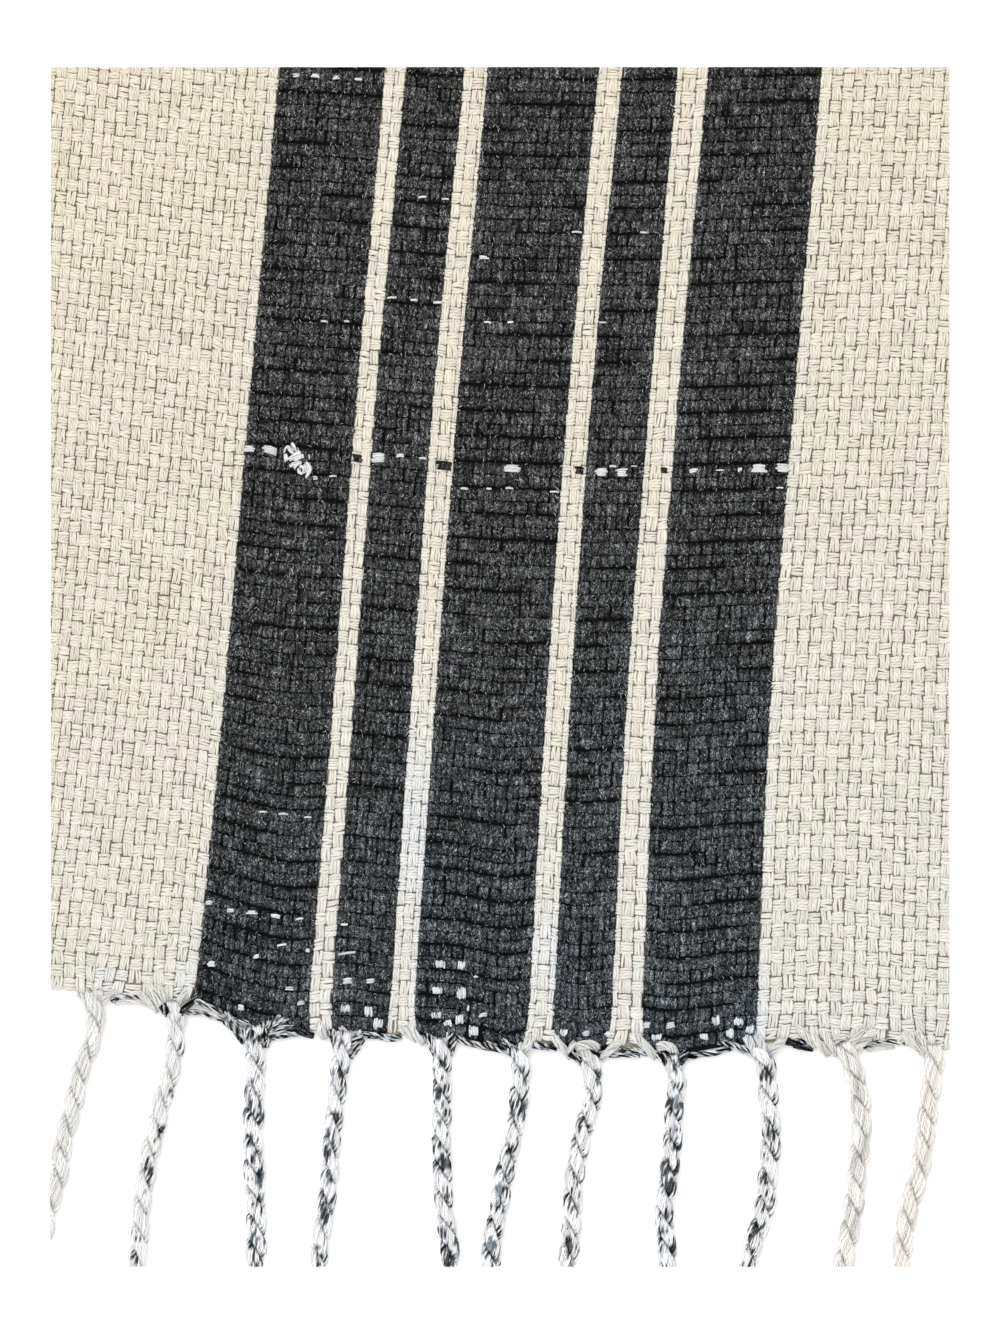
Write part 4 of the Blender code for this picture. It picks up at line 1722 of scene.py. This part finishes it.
    def _add_ribs(self, made: Strands, draw: Draw, columns: Array, rows: Array) -> None:
        """Add the charcoal blocks, which all run down the cloth, with creases between some of them, darkened
        with painted shade.

        Args:
            made: where they go.
            draw: what the small differences are drawn from.
            columns: the blocks' columns.
            rows: the blocks' rows.
        """
        blocks = len(columns)
        count = self.rib_strands
        run = np.array(self.stations)[None, None, :]
        above = self.crease(columns, rows)[:, None, None]
        below = self.crease(columns, rows + 1)[:, None, None]
        creased = np.where(run < 0.0, above, below) * run**2
        each = (blocks, count, 1)
        beside = self._ranks(count) * self.rib_fill
        beside = beside + draw.normal(0.0, self.rib_place_spread, each)
        beside = beside + draw.normal(0.0, self.rib_skew_spread, each) * run
        forward = run * (self.rib_reach - self.crease_depth * creased)
        forward = forward + draw.normal(0.0, self.rib_row_spread, each)
        column = columns[:, None, None] + 0.5 + beside
        column, row = np.broadcast_arrays(column, rows[:, None, None] + forward)
        lift = draw.normal(0.0, self.rib_lift_spread, each)
        height = self.low + (self.rib_top + lift - self.low) * np.array(self.profile)[None, None, :]
        height = height - self.crease_drop * creased
        across, along = self._middles(column, row)
        wide = np.clip(np.ptp(across, axis=1) / 2.0, *self.rib_half) * self.rib_overlap
        right, down = cloth_parts(across, along)
        # Random tone, and painted shade in the creases.
        shade = draw.normal(0.0, self.rib_shade_spread, each) - self.crease_painted_shade * creased
        shade = shade + self.fade_shade * ((right + self.fade_left) * down**2)[:, :, None]
        dye = np.full(blocks, Dye.CHARCOAL.value)
        self._lay(made, draw, column, row, np.broadcast_to(height, column.shape), wide,
                  np.broadcast_to(shade, column.shape), dye, np.zeros(blocks))


@dataclass
class Ground:
    """The thin cloth that the floats rise from."""

    weave: WeaveMap
    columns: int = 220
    rows: int = 60
    top: float = 1.05
    inset: float = 1.7

    def mesh(self, name: str) -> Mesh:
        """A closed sheet between the cuts and the uneven edge.

        Args:
            name: the mesh's name.

        Returns:
            The mesh, with each point's dye.
        """
        shape = bmesh.new()
        bmesh.ops.create_grid(shape, x_segments=self.columns, y_segments=self.rows, size=0.5)
        for vertex in shape.verts:
            across = 2.0 * HALF_WIDTH * vertex.co.x
            lowest = float(self.weave.edge.at(across)) + self.inset
            along = lowest + (HALF_LENGTH - lowest) * (vertex.co.y + 0.5)
            vertex.co = Vector((across, along, self.top)) * MM
        bmesh.ops.solidify(shape, geom=shape.faces[:], thickness=self.top * MM)
        bmesh.ops.recalc_face_normals(shape, faces=shape.faces)
        mesh = as_mesh(name, shape)
        places = points_of(mesh) / MM
        hold(mesh, "dye", self.weave.dye_of(self.weave.column_at(places[:, 0], places[:, 1])))
        return mesh


@dataclass
class Fuzz:
    """Loose light fibres that stand out of the charcoal."""

    weave: WeaveMap
    count: int = 8600
    border_share: float = 0.10
    shortest: float = 0.4
    longest: float = 1.5
    radius: float = 0.10
    height: float = 1.98
    margin: float = 0.1
    border_spread: float = 0.12
    below_last_row: float = 0.4
    heading_spread: float = 0.7
    curl_spread: float = 1.8
    height_spread: float = 0.06
    arch: float = 0.22
    pale: Pair = (1.6, 2.7)
    border_grey: Pair = (1.2, 3.0)
    extra_bleach: float = 0.5
    sides: int = 3
    stations: int = 4

    def strands(self, seed: int) -> Strands:
        """Curled fibres over the charcoal stripes.

        Args:
            seed: what they are drawn from.

        Returns:
            The fibres.
        """
        made = Strands(self.sides, self.stations)
        draw = np.random.default_rng(seed)
        stripes = self.weave.stripes
        widths = np.array([stripe.last_column - stripe.first_column for stripe in stripes], float)
        chosen = draw.choice(len(stripes), self.count, p=widths / widths.sum())
        first = np.array([stripe.first_column for stripe in stripes])[chosen]
        column = first + self.margin + draw.random(self.count) * (widths[chosen] - 2.0 * self.margin)
        border = draw.random(self.count) < self.border_share
        side = first + np.where(draw.random(self.count) < 0.5, 0.0, widths[chosen])
        column = np.where(border, side + draw.normal(0.0, self.border_spread, self.count), column)
        last_row = self.weave.rows_below + self.below_last_row
        row = draw.uniform(-self.weave.rows_above, last_row, self.count)
        across, along = self.weave.place(column, row)
        length = draw.uniform(self.shortest, self.longest, self.count)
        heading = math.pi / 2.0 + draw.normal(0.0, self.heading_spread, self.count)
        curl = draw.normal(0.0, self.curl_spread, self.count)
        run = np.linspace(-0.5, 0.5, self.stations)[None, :]
        angle = heading[:, None] + curl[:, None] * run
        step = length[:, None] / (self.stations - 1)
        height = self.height + draw.normal(0.0, self.height_spread, (self.count, 1))
        height = height + self.arch * (0.25 - run**2)
        route = np.stack([
            across[:, None] + np.cumsum(np.cos(angle) * step, axis=1),
            along[:, None] + np.cumsum(np.sin(angle) * step, axis=1),
            height,
        ], axis=2)
        pale = 1.0 - draw.beta(*self.pale, self.count)
        grey = np.where(border, draw.beta(*self.border_grey, self.count), pale)[:, None]
        bleach = kept(washed(across, along) + self.extra_bleach)[:, None]
        made.add(route, self.radius, self.radius, grey, bleach, 0.0)
        return made


@dataclass
class Studio:
    """A plain pale floor, soft light and a camera straight above."""

    picture_height: float = 333.25
    camera_height: float = 1600.0
    sensor: float = 36.0
    floor_size: float = 4.0
    floor_white: float = 0.95
    floor_glow: float = 0.12
    floor_roughness: float = 0.9
    room_white: Numbers = (1.0, 1.0, 1.0, 1.0)
    room_light: float = 1.15
    key_place: Triple = (-0.5, 0.7, 1.6)
    key_size: float = 1.2
    key_power: float = 10.0
    view_depth: float = 20.0

    def build(self) -> None:
        """Make the floor, the light and the camera."""
        self._floor()
        self._light()
        self._camera()

    def _floor(self) -> None:
        """Lay the floor under the towel."""
        shape = bmesh.new()
        bmesh.ops.create_grid(shape, x_segments=1, y_segments=1, size=self.floor_size / 2.0)
        mesh = as_mesh("floor", shape)
        white = (self.floor_white, self.floor_white, self.floor_white, 1.0)
        mesh.materials.append(Graph("floor_white").surface({
            "Base Color": white, "Roughness": self.floor_roughness, "Emission Color": white,
            "Emission Strength": self.floor_glow,
        }))
        floor = bpy.data.objects.new("floor", mesh)
        bpy.context.scene.collection.objects.link(floor)

    def _light(self) -> None:
        """Light the towel softly from all round, and a little more from the upper left."""
        world = bpy.data.worlds.new("soft_room")
        world.use_nodes = True
        background = world.node_tree.nodes["Background"]
        background.inputs["Color"].default_value = self.room_white
        background.inputs["Strength"].default_value = self.room_light
        bpy.context.scene.world = world
        data = bpy.data.lights.new("key", "AREA")
        data.shape = "SQUARE"
        data.size = self.key_size
        data.energy = self.key_power
        lamp = bpy.data.objects.new("key", data)
        lamp.location = self.key_place
        lamp.rotation_euler = (-Vector(self.key_place)).to_track_quat("-Z", "Y").to_euler()
        bpy.context.scene.collection.objects.link(lamp)

    def _camera(self) -> None:
        """Look straight down, with a long lens, at the photograph's framing."""
        data = bpy.data.cameras.new("camera")
        data.sensor_width = self.sensor
        data.lens = self.sensor * self.camera_height / self.picture_height
        data.clip_end = self.view_depth
        camera = bpy.data.objects.new("camera", data)
        camera.location = (0.0, 0.0, self.camera_height * MM)
        bpy.context.scene.collection.objects.link(camera)
        bpy.context.scene.camera = camera
        bpy.context.scene.view_settings.view_transform = "Standard"


@dataclass(frozen=True)
class Panel:
    """Columns of the face that make one piece."""

    name: str
    first_column: int
    last_column: int


PANELS = (
    Panel("weave_left", 0, 22),
    Panel("weave_stripes_left", 22, 42),
    Panel("weave_stripes_right", 42, 63),
    Panel("weave_right", 63, 91),
)


SEEDS = {"fuzz": 5, "stray_floats": 7, "darn": 9, "cords": 11, "edge": 21}


def main() -> None:
    """Build the towel's looks, piece by piece."""
    logging.basicConfig(level=logging.INFO, format="%(message)s")
    weave = WeaveMap()
    yarn = YarnFinish("woven_yarn").material()
    cord_yarn = YarnFinish(
        "cord_yarn", cream=(0.775, 0.712, 0.62), pale=(0.785, 0.795, 0.812), cold_tint=(0.82, 1.0, 1.17),
        charcoal=((0.36, (0.004, 0.004, 0.004)), (0.50, (0.032, 0.032, 0.032)), (0.62, (0.14, 0.14, 0.14)),
                  (0.78, (0.48, 0.48, 0.48))),
        wander=1.0,
    ).material()
    ground_cloth = GroundFinish("ground_cloth").material()
    ground = show("ground", Ground(weave), ground_cloth)
    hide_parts("cloth")
    face = WovenFace(weave, Pull())
    darn = Bundles(DARN, cord_share=0.8, mottle=0.5, fineness=1.2, radius=0.26, low=1.5, steepness=0.5)
    edge = Bundles(EDGE_BUNDLES, cord_share=0.45, mottle=0.85)
    for panel in PANELS:
        strands = face.strands(panel.first_column, panel.last_column, panel.first_column + 1)
        show(panel.name, strands, yarn)
    show("fuzz", Fuzz(weave).strands(SEEDS["fuzz"]), yarn)
    show("stray_floats", StrayFloats().strands(SEEDS["stray_floats"]), yarn)
    show("darn", darn.strands(SEEDS["darn"]), cord_yarn)
    cords = show("cords", TwistedCords().strands(weave, SEEDS["cords"]), cord_yarn)
    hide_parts("fringe")
    show("edge", edge.strands(SEEDS["edge"]), yarn)
    Studio().build()


if __name__ == "__main__":
    main()
